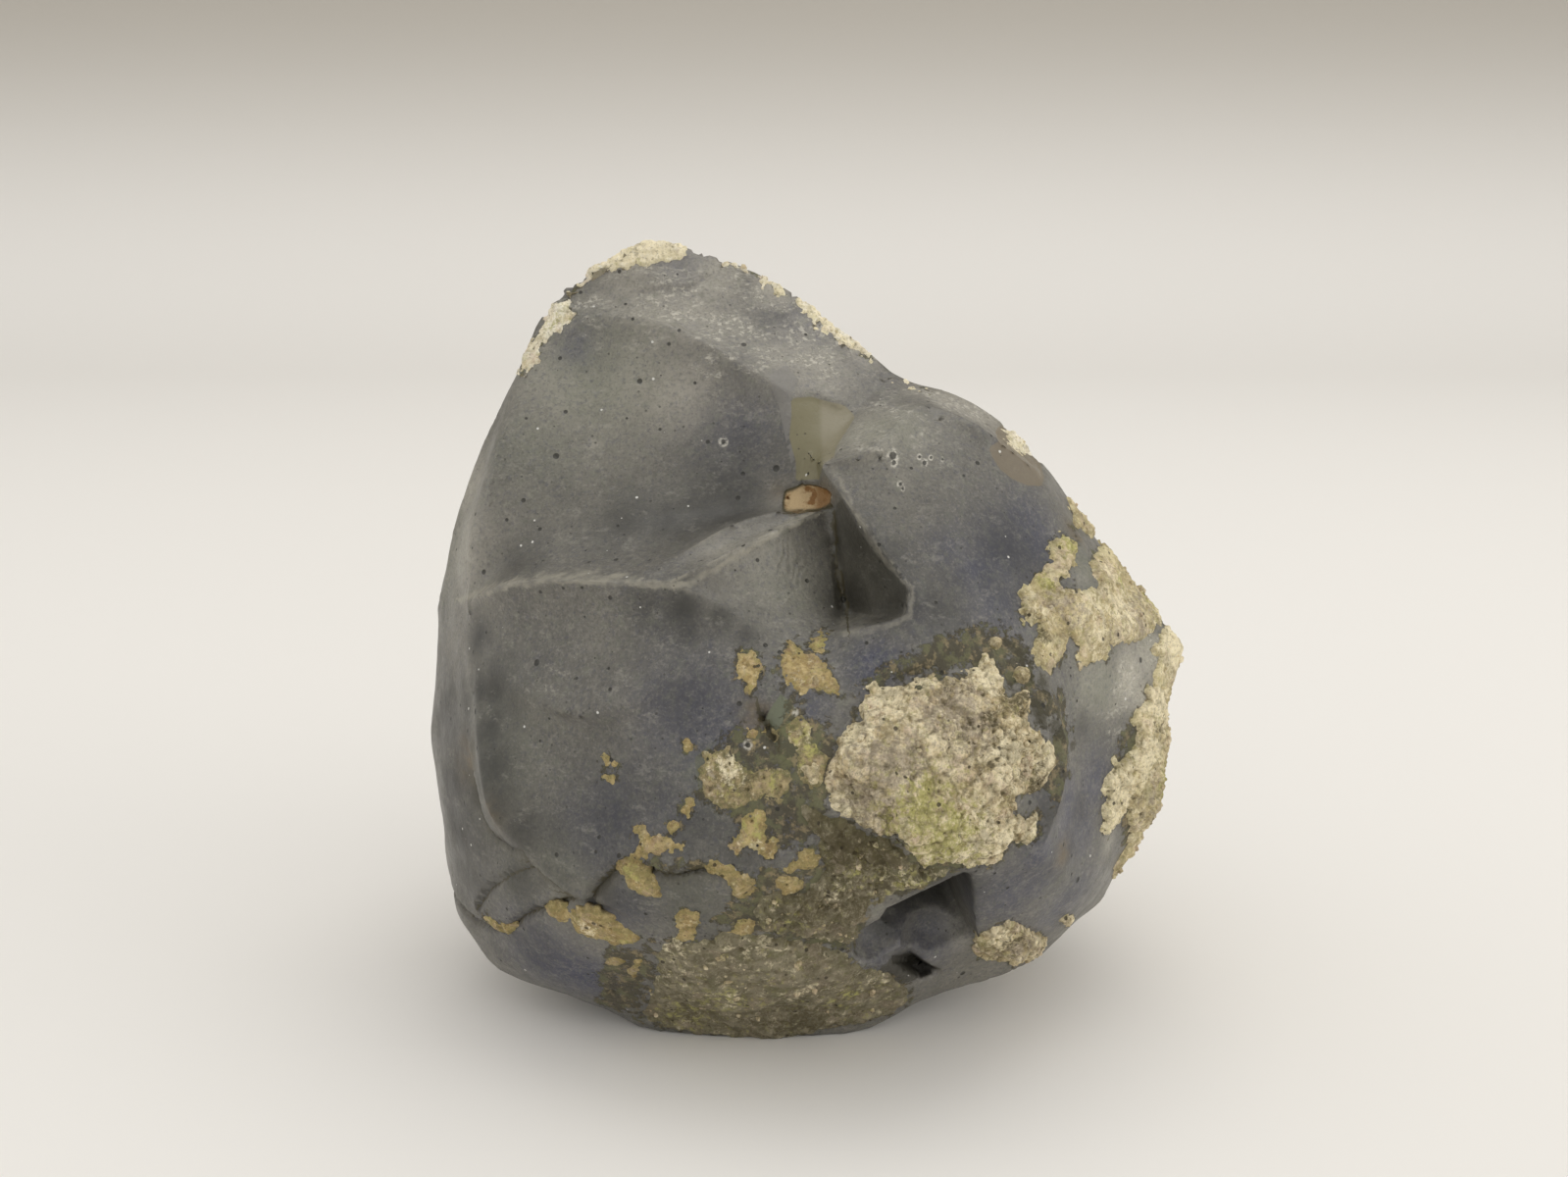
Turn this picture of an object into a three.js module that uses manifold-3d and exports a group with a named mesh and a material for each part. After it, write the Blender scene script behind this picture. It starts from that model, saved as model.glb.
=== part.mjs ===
// A chunk of slag glass: waxy, opaque grey-blue glass broken into hollow, shell-like faces,
// with a stony crust of furnace dross still fused to its right side, its foot and its top.
// One solid, in millimetres, +Z up, standing on the flat spot under its foot.
import * as THREE from 'three';
import { mergeVertices } from 'three/addons/utils/BufferGeometryUtils.js';
import Module from 'manifold-3d';

// Driving dimensions.
const facetStep = 3.8;      // length of one facet along a ridge
const skinRounds = 80;      // rounds that settle a face into a skin between its ridges
const softRounds = 4;       // rounds that round the glass over at its soft ridges
const bodyMiddle = 45;      // height of the chunk's middle
const restHeight = 1;       // below this the glass is left flat, to rest on
const crackWidth = 1.5;     // half the mouth of the open cracks
const crackDepth = 3.2;     // how far the cracks run in
const crackEnd = 0.04;      // share of a crack's length over which it closes at each end
const crustStep = 2.6;      // length of one facet across a crust
const crustRoot = 1.5;      // how deep a crust's underside is sunk in the glass
const crustReach = 5;       // how far from its middle's level a crust may follow the glass
const crustBrow = 0.94;     // where a crust's top turns down to its rim, as a share of its reach
const crustFoot = 0.9;      // where its underside ends, as a share of its reach
const ragged = 0.35;        // how deep the bays in a crust's outline are, as a share of its reach
const rugged = 0.8;         // how far the glass under the crust wanders in and out
const ruggedWave = 7;       // length of that wandering
const farAbove = 30;        // a height over the glass that clears the chunk nearby

// Corners where three or more ridges meet: across, back, up.
const corners = {
  // crest and right-hand outline, from the apex down
  apex: [-22.5, 9.5, 101.4],
  notch: [11, 3, 84.5],
  shoulderTop: [14, 2.5, 83],
  shoulderEnd: [32.5, 1, 71.5],
  shoulderFoot: [36, 1.5, 66],
  nose: [51, -3, 48],
  rightWaist: [49, -4.5, 30],
  rightHeel: [41, -8.5, 13],
  heelFront: [31, -14, 7],
  // front edge of the foot and left-hand outline
  footRight: [17.5, -19.5, 4.5],
  restRight: [7, -21.5, 0],
  restLeft: [-22, -20.5, 0],
  footLeft: [-27, -19, 2.5],
  leftHeel: [-49, -9.5, 12],
  leftShin: [-50.5, -6, 17.5],
  leftWaist: [-52.5, -2, 35],
  leftSide: [-51, 1, 53],
  leftShoulder: [-37, 7.5, 91],
  // the great hollow and the ledge under it
  hollowTopLeft: [-36, 5, 89.5],
  hollowFootLeft: [-45, -11.5, 55.5],
  ledgeStart: [-22.5, -27.5, 62.5],
  ledgeBreak: [-17, -28.5, 63],
  pocketTop: [2, -15.5, 69.5],
  chipTop: [-2.5, -6, 82.5],
  chipTopRight: [5.5, -6.5, 80],
  chipFoot: [-2, -11.5, 72.5],
  chipFootRight: [1, -14.5, 73],
  // shoulder block, pocket and lip
  tip: [1, -19, 75.5],
  pocketBottom: [4.5, -20.5, 57],
  blockCorner: [11.5, -31.5, 63],
  lipRight: [11, -31, 59.5],
  lipLeft: [2, -28.5, 56.5],
  bevelTop: [15, -7.5, 81.5],
  rimEnd: [29, -8.5, 73.5],
  blockFoot: [25.5, -27, 55.5],
  // belly
  creaseFoot: [-7.5, -30, 59.5],
  bellyLeft: [-43, -17, 49.5],
  bellyRight: [-10, -33, 55],
  plateTop: [-4.5, -38.5, 47],
  underLipLeft: [4, -35, 52],
  underLipRight: [11.5, -35.5, 54.5],
  plateLeft: [-1.5, -44, 40.5],
  plateFoot: [9.5, -42.5, 33],
  caveTop: [19.5, -38, 30],
  stripFoot: [27.5, -35, 31],
  stripTop: [41, -14.5, 48.5],
  stripHeel: [37, -21, 21],
  caveSide: [20.5, -30, 17.5],
  // the crack round the foot and the crust under it
  crackLeft: [-40.5, -23, 16],
  crackJoin: [-28, -35.5, 24],
  crackRight: [1, -42, 28],
  caveLeft: [5.5, -38.5, 24],
  crustLeft: [-24, -33.5, 18.5],
  crustRight: [-4.5, -40.5, 24],
  // back and underside
  backTop: [-13, 26, 88],
  backSaddle: [8, 23, 71],
  backLeft: [-43, 20, 67],
  backPeak: [-18, 39, 47],
  backRight: [16, 40, 53],
  backSide: [43, 18, 36],
  lowLeft: [-42, 17, 18],
  lowMid: [-20, 33, 30],
  lowBack: [4, 40, 19],
  lowRight: [24, 31, 26],
  lowSide: [42, 9, 17],
  restBackLeft: [-21, 4, 0],
  restBack: [-10, 13, 0],
  restBackRight: [7, 9, 0],
  restSide: [11, -6, 0],
};

// Where a ridge isn't straight between its two corners, the points that it bends through.
const bends = {
  'apex-notch': [[-17.5, 9.5, 101], [-10.5, 9, 98.8], [-3.5, 8, 95.5], [3, 6.5, 91]],
  'shoulderTop-shoulderEnd': [[18, 2.5, 82], [23, 2, 80], [28, 1.5, 76]],
  'shoulderFoot-nose': [[39, 1.5, 62.5], [42, 0.5, 58.5], [46, -0.5, 54]],
  'nose-rightWaist': [[50, -3, 44.5], [48.5, -3, 39.5]],
  'rightWaist-rightHeel': [[46, -6.5, 21]],
  'rightHeel-heelFront': [[36, -11.5, 9]],
  'heelFront-footRight': [[25.5, -17, 6]],
  'footRight-restRight': [[12, -21, 3]],
  'restRight-restLeft': [[0.5, -22.5, 0], [-8, -22.5, 0], [-16, -22, 0]],
  'footLeft-leftHeel': [[-35.5, -17, 3], [-44, -14.5, 4.5], [-48.5, -11.5, 7.5]],
  'leftShin-leftWaist': [[-52, -4, 26]],
  'leftWaist-leftSide': [[-52.5, 0, 43]],
  'leftSide-leftShoulder': [[-50, 1, 60.5], [-48, 1.5, 67.5], [-44, 2.5, 77], [-41, 5, 84]],
  'leftShoulder-apex': [[-30.5, 9.5, 97.5]],
  'hollowTopLeft-hollowFootLeft': [[-39.5, -2, 82.5], [-41.5, -6.5, 76], [-42.5, -10.5, 68],
    [-44, -11.5, 60.5]],
  'hollowTopLeft-chipTop': [[-29.5, 2.5, 92.5], [-21.5, 0.5, 92], [-13.5, -2.5, 89], [-6.5, -5.5, 85]],
  'hollowFootLeft-ledgeStart': [[-40.5, -17.5, 59.5], [-32.5, -23.5, 62], [-26, -26.5, 62.5]],
  'ledgeStart-pocketTop': [[-15.5, -23.5, 65.5], [-10.5, -20, 68], [-4.5, -17.5, 69.5]],
  'ledgeBreak-pocketTop': [[-13.5, -28, 64.5], [-8, -25, 67], [-5, -23, 68]],
  'chipTop-chipTopRight': [[1.5, -5, 82]],
  'chipTop-chipFoot': [[-2.5, -9.5, 77.5]],
  'chipFoot-pocketTop': [[-3.5, -13, 70.5]],
  'tip-chipTopRight': [[3, -16.5, 76.5]],
  'tip-bevelTop': [[7.5, -19.5, 77.5], [12.5, -11.5, 81]],
  'bevelTop-rimEnd': [[20, -10, 80], [24, -10.5, 77.5]],
  'rimEnd-blockFoot': [[32, -10, 67], [29, -18, 63]],
  'lipLeft-lipRight': [[7, -30.5, 58]],
  'ledgeBreak-creaseFoot': [[-11, -30, 60.5]],
  'creaseFoot-plateTop': [[-6, -36.5, 49.5]],
  'bellyLeft-bellyRight': [[-36.5, -26.3, 48], [-29.5, -32.3, 45], [-24, -34.2, 47.5], [-15, -34, 53]],
  'bellyLeft-crackJoin': [[-41.5, -25, 37], [-39.5, -28.5, 31.5], [-34.5, -32.5, 28.5]],
  'crackLeft-crackJoin': [[-33, -30.5, 23.5]],
  'crackJoin-crackRight': [[-22.5, -40, 31], [-17.5, -42, 30.5], [-12.5, -44, 32], [-6.5, -43.5, 30]],
  'plateTop-plateLeft': [[-2.5, -40.5, 46]],
  'plateLeft-plateFoot': [[7.5, -43.5, 37]],
  'blockFoot-stripFoot': [[30.5, -30, 48], [31, -31.5, 39.5]],
  'blockFoot-stripTop': [[33, -24, 51]],
  'stripTop-stripHeel': [[39, -19, 34]],
  'caveLeft-caveTop': [[13, -36.5, 25]],
  'crustLeft-crustRight': [[-15, -37.5, 19.5]],
  'apex-backTop': [[-18, 20.5, 96]],
  'notch-backSaddle': [[10.5, 14, 79]],
  'backTop-backSaddle': [[-4, 27, 78]],
  'backTop-backPeak': [[-17, 32, 76], [-20, 37, 60]],
  'backSaddle-backRight': [[11, 31, 65], [15, 37, 59]],
  'backPeak-backRight': [[-8, 41.5, 44], [5, 42.5, 47]],
  'backLeft-backPeak': [[-38, 28, 63], [-28, 35, 51]],
  'leftSide-backLeft': [[-49, 11, 61]],
  'backRight-backSide': [[26, 36, 51], [37, 27, 42]],
  'backSide-nose': [[48.5, 6, 41]],
  'backSide-lowSide': [[45, 15, 29], [44, 12.5, 22]],
  'shoulderFoot-backSide': [[40.5, 11, 53]],
  'backLeft-lowLeft': [[-47, 20, 50], [-46, 19, 32]],
  'lowLeft-lowMid': [[-34, 26, 22]],
  'backPeak-lowMid': [[-19, 38, 39]],
  'lowMid-lowBack': [[-8, 39, 22]],
  'backRight-lowBack': [[17, 42, 43], [9, 42.5, 28]],
  'lowBack-lowRight': [[14, 38, 18]],
  'lowRight-lowSide': [[34, 22, 20]],
  'lowSide-rightWaist': [[46, 1, 26]],
  'leftShin-lowLeft': [[-49, 4, 14]],
  'lowLeft-restBackLeft': [[-33, 11, 6]],
  'lowBack-restBack': [[-3, 28, 8]],
  'lowRight-restBackRight': [[17, 20, 9]],
  'lowSide-restSide': [[28, 3, 6]],
};

// Ridges that the glass rounds over instead of breaking sharp.
const softRidges = [
  'leftSide-leftShoulder', 'leftWaist-leftSide', 'leftShin-leftWaist', 'leftShin-leftHeel',
  'leftHeel-footLeft', 'hollowFootLeft-bellyLeft', 'bellyLeft-bellyRight', 'creaseFoot-bellyRight',
  'creaseFoot-plateTop', 'underLipLeft-plateTop', 'underLipLeft-underLipRight', 'rimEnd-blockFoot',
  'blockFoot-underLipRight', 'blockFoot-stripTop', 'stripTop-stripHeel', 'bellyLeft-leftWaist',
  'nose-backSide', 'rightWaist-lowSide', 'rightWaist-nose', 'rightWaist-rightHeel', 'backSide-lowSide',
  'leftSide-backLeft', 'leftShin-lowLeft', 'backPeak-lowMid', 'underLipLeft-lipLeft',
  'crustLeft-footLeft', 'heelFront-rightHeel', 'hollowFootLeft-hollowTopLeft',
];

// Faces between the ridges: their corners in turn, anticlockwise from outside,
// and how deep the middle is dished. A face with a negative dish swells.
const faces = [
  { name: 'top band', dish: -0.8, loop: 'hollowTopLeft chipTop chipTopRight notch apex leftShoulder' },
  { name: 'great hollow', dish: 4, deepest: [-12, -15, 71],
    loop: 'hollowTopLeft hollowFootLeft ledgeStart pocketTop chipFoot chipTop' },
  { name: 'left band', dish: -1.5,
    loop: 'leftShoulder leftSide leftWaist bellyLeft hollowFootLeft hollowTopLeft' },
  { name: 'olive chip', dish: 0.8, loop: 'chipTop chipFoot chipFootRight tip chipTopRight' },
  { name: 'rusty nick', dish: 1.2, loop: 'chipFoot pocketTop chipFootRight' },
  { name: 'pocket wall', dish: 0.4, loop: 'pocketTop pocketBottom lipRight blockCorner tip chipFootRight' },
  { name: 'ledge', dish: 0.3, loop: 'ledgeStart ledgeBreak pocketTop' },
  { name: 'rippled face', dish: 1,
    loop: 'ledgeBreak creaseFoot plateTop underLipLeft lipLeft pocketBottom pocketTop' },
  { name: 'lip', dish: 0.8, loop: 'pocketBottom lipLeft lipRight' },
  { name: 'under the lip', dish: -0.4, loop: 'lipLeft underLipLeft underLipRight lipRight' },
  { name: 'shoulder face', dish: -1.5,
    loop: 'tip blockCorner lipRight underLipRight blockFoot rimEnd bevelTop' },
  { name: 'shoulder bevel', dish: -0.4, loop: 'tip bevelTop shoulderTop notch chipTopRight' },
  { name: 'shoulder rim', dish: -0.6, loop: 'bevelTop rimEnd shoulderEnd shoulderTop' },
  { name: 'crusted slope', dish: -1,
    loop: 'rimEnd blockFoot stripTop nose shoulderFoot shoulderEnd' },
  { name: 'blue strip', dish: 0.6, loop: 'blockFoot stripFoot stripHeel stripTop' },
  { name: 'right edge', dish: -1.2, loop: 'stripTop stripHeel rightHeel rightWaist nose' },
  { name: 'lower right', dish: -2, loop: 'caveTop caveSide heelFront rightHeel stripHeel stripFoot' },
  { name: 'crust bed', dish: -1,
    loop: 'plateTop plateLeft plateFoot caveTop stripFoot blockFoot underLipRight underLipLeft' },
  { name: 'upper belly', dish: -0.5,
    loop: 'hollowFootLeft bellyLeft bellyRight creaseFoot ledgeBreak ledgeStart' },
  { name: 'lower belly', dish: -1.2,
    loop: 'bellyLeft crackJoin crackRight plateLeft plateTop creaseFoot bellyRight' },
  { name: 'left flank', dish: -2, loop: 'bellyLeft leftWaist leftShin leftHeel crackLeft crackJoin' },
  { name: 'lower left', dish: -2, loop: 'leftHeel footLeft crustLeft crackJoin crackLeft' },
  { name: 'under the crack', dish: -0.6, loop: 'crackJoin crustLeft crustRight crackRight' },
  { name: 'crusted foot', dish: -1.2,
    loop: 'crustLeft footLeft restLeft restRight footRight caveLeft crustRight' },
  { name: 'crust corner', dish: 0, loop: 'crustRight caveLeft crackRight' },
  { name: 'under the plate', dish: 1, loop: 'plateLeft crackRight caveLeft caveTop plateFoot' },
  { name: 'cave floor', dish: 1, loop: 'caveLeft footRight heelFront caveSide caveTop' },
  { name: 'back upper left', dish: 4, loop: 'apex backTop backPeak backLeft leftSide leftShoulder' },
  { name: 'back crest', dish: 0.5, loop: 'apex notch backSaddle backTop' },
  { name: 'back middle', dish: 1.5, loop: 'backTop backSaddle backRight backPeak' },
  { name: 'back upper right', dish: 2.5,
    loop: 'notch shoulderTop shoulderEnd shoulderFoot backSide backRight backSaddle' },
  { name: 'back nose', dish: -0.5, loop: 'shoulderFoot nose backSide' },
  { name: 'back left', dish: -1, loop: 'leftSide backLeft lowLeft leftShin leftWaist' },
  { name: 'back lower left', dish: 3, loop: 'backLeft backPeak lowMid lowLeft' },
  { name: 'back lower middle', dish: -1.5, loop: 'backPeak backRight lowBack lowMid' },
  { name: 'back lower right', dish: 1.5, loop: 'backRight backSide lowSide lowRight lowBack' },
  { name: 'back right', dish: -1, loop: 'backSide nose rightWaist lowSide' },
  { name: 'underside left', dish: -1.5,
    loop: 'leftShin lowLeft restBackLeft restLeft footLeft leftHeel' },
  { name: 'underside back left', dish: -1, loop: 'lowLeft lowMid lowBack restBack restBackLeft' },
  { name: 'underside back', dish: 1, loop: 'lowBack lowRight restBackRight restBack' },
  { name: 'underside back right', dish: -1, loop: 'lowRight lowSide restSide restBackRight' },
  { name: 'underside right', dish: -1,
    loop: 'lowSide rightWaist rightHeel heelFront footRight restRight restSide' },
  { name: 'resting spot', dish: 0,
    loop: 'restLeft restBackLeft restBack restBackRight restSide restRight' },
];

// Crust: stony masses and thin lichen-like scabs that stand on the glass. Each has a middle,
// the way it faces, its reach from that middle in twelve directions (anticlockwise from its
// right-hand side), the thickness at its rim and in its middle, and how lumpy it is.
const front = [0, -0.97, 0.23];
const crusts = [
  { at: [14.5, -36, 42.5], facing: front, rim: 1.6, middle: 4.2, lumps: 0.7,
    reach: [15.3, 15.9, 12.6, 11, 10.9, 12, 13.5, 13.9, 11.2, 12.1, 12.9, 14.5] },
  { at: [-4, -32, 13], facing: [0, -0.8, -0.6], rim: 0.5, middle: 1.6, lumps: 0.5,
    reach: [17, 15, 10, 8.5, 11, 16, 20, 17, 11, 9, 10, 14] },
  { at: [36.5, -15, 56.5], facing: [0.4, -0.75, 0.5], rim: 0.6, middle: 1.8, lumps: 0.6,
    reach: [13, 12, 10, 11, 11, 10, 10, 9, 8, 7, 9, 11] },
  { at: [43.5, -11.5, 32], facing: [0.75, -0.65, 0], rim: 0.5, middle: 1.5, lumps: 0.6,
    reach: [6.5, 8, 12, 14, 11, 7, 5, 6, 10, 13, 12, 8] },
  { at: [-21.5, 7.5, 99.5], facing: [-0.1, -0.55, 0.83], rim: 0.4, middle: 1.1, lumps: 0.4,
    reach: [8, 6, 4, 3.2, 4.2, 6, 7.5, 6.5, 4.5, 3.8, 4, 6] },
  { at: [-7.3, -35, 53.5], facing: front, rim: 0.4, middle: 0.6, lumps: 0.15,
    reach: [2, 2.2, 3, 3.3, 2.8, 2.2, 2, 2.1, 2.8, 3.6, 3, 2] },
  { at: [0.3, -35.5, 52], facing: front, rim: 0.5, middle: 0.8, lumps: 0.2,
    reach: [3.6, 3.2, 2.6, 2.4, 2.6, 3.2, 3.4, 3.2, 2.6, 2.8, 3.4, 3.6] },
  { at: [-8.5, -41, 42], facing: front, rim: 0.4, middle: 0.6, lumps: 0.15,
    reach: [6.5, 4, 2.8, 2.6, 3.4, 5, 6, 4.4, 3, 2.8, 3.2, 5.2] },
  { at: [-17.8, -42, 35], facing: front, rim: 0.4, middle: 0.6, lumps: 0.15,
    reach: [3.4, 2.4, 1.9, 2, 2.4, 3, 3.4, 2.4, 1.8, 1.9, 2.2, 3] },
  { at: [-6.8, -43.5, 36.5], facing: front, rim: 0.4, middle: 0.6, lumps: 0.15,
    reach: [3.2, 3, 2.4, 2.8, 2.6, 2.8, 3.4, 3, 2.6, 2.6, 3, 3.4] },
  { at: [26, -24, 14], facing: [0.3, -0.9, -0.3], rim: 0.6, middle: 1.2, lumps: 0.4,
    reach: [5, 3.5, 2.4, 2.2, 2.8, 4, 4.4, 3, 2.2, 2.2, 2.8, 4] },
  { at: [-33.5, 6.5, 92.5], facing: [-0.4, -0.8, 0.4], rim: 0.6, middle: 1.1, lumps: 0.3,
    reach: [2.2, 2, 2.2, 2.2, 2, 2.2, 2, 1.9, 2, 2.2, 2, 2] },
  // the old outer skin of the lump, on the back
  { at: [30, 27, 38], facing: [0.55, 0.83, 0], rim: 0.6, middle: 1.8, lumps: 0.6,
    reach: [11, 13, 11, 9, 10, 12, 12, 10, 9, 11, 12, 10] },
  { at: [8, 38, 27], facing: [0, 1, -0.1], rim: 0.5, middle: 1.5, lumps: 0.6,
    reach: [10, 8, 7, 8, 9, 11, 13, 10, 8, 7, 8, 10] },
  { at: [-42, 17, 30], facing: [-0.8, 0.6, 0], rim: 0.5, middle: 1.2, lumps: 0.4,
    reach: [6, 8, 9, 8, 6, 5, 6, 7, 9, 8, 7, 6] },
];

// Where the glass itself is rugged, because crust has grown through it.
const crustGround = [
  { at: [44, -4, 46], reach: 17 },
  { at: [44, -6, 28], reach: 16 },
  { at: [34, 10, 36], reach: 20 },
  { at: [-6, -30, 10], reach: 18 },
  { at: [-26, 8, 98], reach: 10 },
];

// Open cracks: the line of the mouth on the surface, and the way the crack runs in.
const cracks = [
  { name: 'foot crack', into: [0.1, 0.8, 0.6],
    line: [[-47, -13, 14], [-43.5, -19, 13.5], [-40.5, -23.5, 15.5], [-36, -28, 21],
      [-31.5, -32.5, 22.5], [-28, -36, 24]] },
  { name: 'belly crack', into: [0, 0.8, 0.6],
    line: [[-28, -36, 24], [-25.5, -38.5, 28], [-22.5, -40.5, 31], [-17.5, -42.5, 30],
      [-12.5, -44.5, 31.5], [-6.5, -44, 29.5]] },
  { name: 'slit', into: [0.2, 0.98, 0],
    line: [[-6.5, -38.5, 50.5], [-5.5, -39.5, 48.5], [-4, -40, 46.5]] },
];

// Bites broken out of the right of the foot, as pyramids: their mouths anticlockwise from
// outside, and the point that they reach in the glass.
const bites = [
  { name: 'cave', tip: [15.5, -17, 25.5],
    mouth: [[5.3, -48, 24.5], [-2.9, -48, 10.3], [32.7, -48, -7.2], [20.3, -48, 32.1]] },
  { name: 'under the lobes', tip: [15, -14, 6.5],
    mouth: [[4.5, -41.5, 21], [13, -42, 13.5], [21, -41, 16], [9.5, -41, 24]] },
];

// Scoops that leave two lobed hollows in the cave's floor: middle, half-sizes and lean.
const scoops = [
  { name: 'left lobe', at: [9.2, -34.2, 19.4], size: [4.6, 5.2, 4.6], lean: 0.2 },
  { name: 'right lobe', at: [16, -30, 17.4], size: [5, 6, 4.6], lean: -0.3 },
];

const wasm = await Module();
wasm.setup();

const vector = (numbers) => new THREE.Vector3(...numbers);
const cornerPoints = Object.fromEntries(
  Object.entries(corners).map(([name, at]) => [name, vector(at)]),
);
const ridgeLines = new Map();

// A ridge's points from one corner to the next. The faces on both sides share the same points.
function ridge(from, to) {
  if (ridgeLines.has(`${from}-${to}`)) return ridgeLines.get(`${from}-${to}`);
  if (ridgeLines.has(`${to}-${from}`)) return [...ridgeLines.get(`${to}-${from}`)].reverse();
  const through = bends[`${from}-${to}`] ?? [...bends[`${to}-${from}`] ?? []].reverse();
  const stops = [cornerPoints[from], ...through.map(vector), cornerPoints[to]];
  const line = new THREE.CatmullRomCurve3(stops, false, 'centripetal');
  const count = Math.max(1, Math.round(line.getLength() / facetStep));
  const points = line.getSpacedPoints(count);
  points[0] = cornerPoints[from];
  points[count] = cornerPoints[to];
  ridgeLines.set(`${from}-${to}`, points);
  return points;
}

// A point a given share of the way round a closed ring.
function around(ring, share) {
  const place = share * ring.length;
  const index = Math.floor(place) % ring.length;
  return ring[index].clone().lerp(ring[(index + 1) % ring.length], place - Math.floor(place));
}

// Triangles between a ring and the next one out, which may have more points.
function zip(inner, outer) {
  const triangles = [];
  const innerSteps = inner.length === 1 ? 0 : inner.length;
  let i = 0;
  let o = 0;
  while (i < innerSteps || o < outer.length) {
    const a = inner[i % inner.length];
    const b = outer[o % outer.length];
    if (i >= innerSteps || (o < outer.length && (o + 1) / outer.length <= (i + 1) / innerSteps)) {
      o += 1;
      triangles.push([a, b, outer[o % outer.length]]);
    } else {
      i += 1;
      triangles.push([a, b, inner[i % inner.length]]);
    }
  }
  return triangles;
}

// Each point's neighbours in a set of triangles.
function neighboursIn(triangles) {
  const neighbours = new Map();
  for (const triangle of triangles) {
    triangle.forEach((p, i) => {
      if (!neighbours.has(p)) neighbours.set(p, new Set());
      neighbours.get(p).add(triangle[(i + 1) % 3]).add(triangle[(i + 2) % 3]);
    });
  }
  return neighbours;
}

// Moves points towards the middle of their neighbours, over and over, like a stretched skin.
function settle(points, neighbours, rounds, strength) {
  for (let round = 0; round < rounds; round += 1) {
    for (const p of points) {
      const near = [...neighbours.get(p)];
      const mean = near.reduce((sum, q) => sum.add(q), new THREE.Vector3()).divideScalar(near.length);
      p.lerp(mean, strength);
    }
  }
}

// Fills one face with rings from its ridges to its middle, settled smooth and then dished.
function faceTriangles({ loop, dish, deepest }) {
  const names = loop.split(' ');
  const edge = names.flatMap((name, i) => ridge(name, names[(i + 1) % names.length]).slice(0, -1));
  const middle = edge.reduce((sum, p) => sum.add(p), new THREE.Vector3()).divideScalar(edge.length);
  const facing = new THREE.Vector3();
  edge.forEach((p, i) => {
    const next = edge[(i + 1) % edge.length];
    facing.add(p.clone().sub(middle).cross(next.clone().sub(middle)));
  });
  facing.normalize();
  const size = edge.reduce((sum, p) => sum + p.distanceTo(middle), 0) / edge.length;
  const ringCount = Math.max(1, Math.round(size / facetStep));
  const rings = [[middle]];
  for (let k = 1; k < ringCount; k += 1) {
    const share = k / ringCount;
    const count = Math.max(5, Math.round(edge.length * share));
    rings.push(Array.from({ length: count }, (_, i) => around(edge, i / count).lerp(middle, 1 - share)));
  }
  const inside = rings.flat();
  const triangles = [...rings, edge].slice(1).flatMap((outer, i) => zip(rings[i], outer));
  settle(inside, neighboursIn(triangles), skinRounds, 1);
  const bottom = deepest ? vector(deepest) : middle.clone();
  const depths = inside.map((p) => {
    const edgeGap = Math.min(...edge.map((q) => q.distanceTo(p)));
    return dish * (1 - (1 - edgeGap / (edgeGap + p.distanceTo(bottom))) ** 2);
  });
  inside.forEach((p, i) => p.addScaledVector(facing, -depths[i]));
  return triangles;
}

// A smooth, repeatable wander between -1 and 1 in space, in waves of about the given length.
function wander(p, wave, shift = 0) {
  const { x, y, z } = p.clone().multiplyScalar(2 * Math.PI / wave);
  const acrossWave = Math.sin(x + 1.7 * Math.sin(0.61 * y + shift));
  const backWave = Math.sin(0.83 * y + 1.3 * Math.sin(0.7 * z + shift));
  const upWave = Math.sin(1.1 * z + 1.5 * Math.sin(0.57 * x + shift));
  return (acrossWave + backWave + upWave) / 3;
}

// A closed solid from triangles that face outwards.
function solid(triangles) {
  const geometry = new THREE.BufferGeometry();
  const numbers = triangles.flat().flatMap((p) => p.toArray());
  geometry.setAttribute('position', new THREE.Float32BufferAttribute(numbers, 3));
  const merged = mergeVertices(geometry, 1e-3);
  return new wasm.Manifold(new wasm.Mesh({
    numProp: 3,
    vertProperties: new Float32Array(merged.attributes.position.array),
    triVerts: new Uint32Array(merged.index.array),
  }));
}

// A solid's surface as three.js geometry.
function geometryOf(manifold) {
  const mesh = manifold.getMesh();
  const geometry = new THREE.BufferGeometry();
  geometry.setAttribute('position', new THREE.BufferAttribute(mesh.vertProperties, 3));
  geometry.setIndex(new THREE.BufferAttribute(mesh.triVerts, 1));
  return geometry;
}

// The glass alone: all its faces, its soft ridges rounded over, its crusted ground made rugged.
function glassBody() {
  const triangles = faces.flatMap(faceTriangles);
  const neighbours = neighboursIn(triangles);
  const soft = softRidges.flatMap((name) => ridge(...name.split('-')));
  const beside = soft.flatMap((p) => [...neighbours.get(p)]);
  const softLines = new Set(softRidges.map((name) => name.split('-').sort().join()));
  const sharp = [...ridgeLines].filter(([name]) => !softLines.has(name.split('-').sort().join()));
  const held = new Set([...Object.values(cornerPoints), ...sharp.flatMap(([, line]) => line)]);
  const free = [...new Set([...soft, ...beside])].filter((p) => !held.has(p));
  settle(free, neighbours, softRounds, 0.5);
  for (const p of neighbours.keys()) {
    const bare = Math.min(1, ...crustGround.map(({ at, reach }) => p.distanceTo(vector(at)) / reach));
    const outward = p.clone().setZ(p.z - bodyMiddle).normalize();
    const swell = rugged * (1 - bare ** 2) * wander(p, ruggedWave);
    if (p.z > restHeight) p.addScaledVector(outward, swell);
  }
  return solid(triangles);
}

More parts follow.
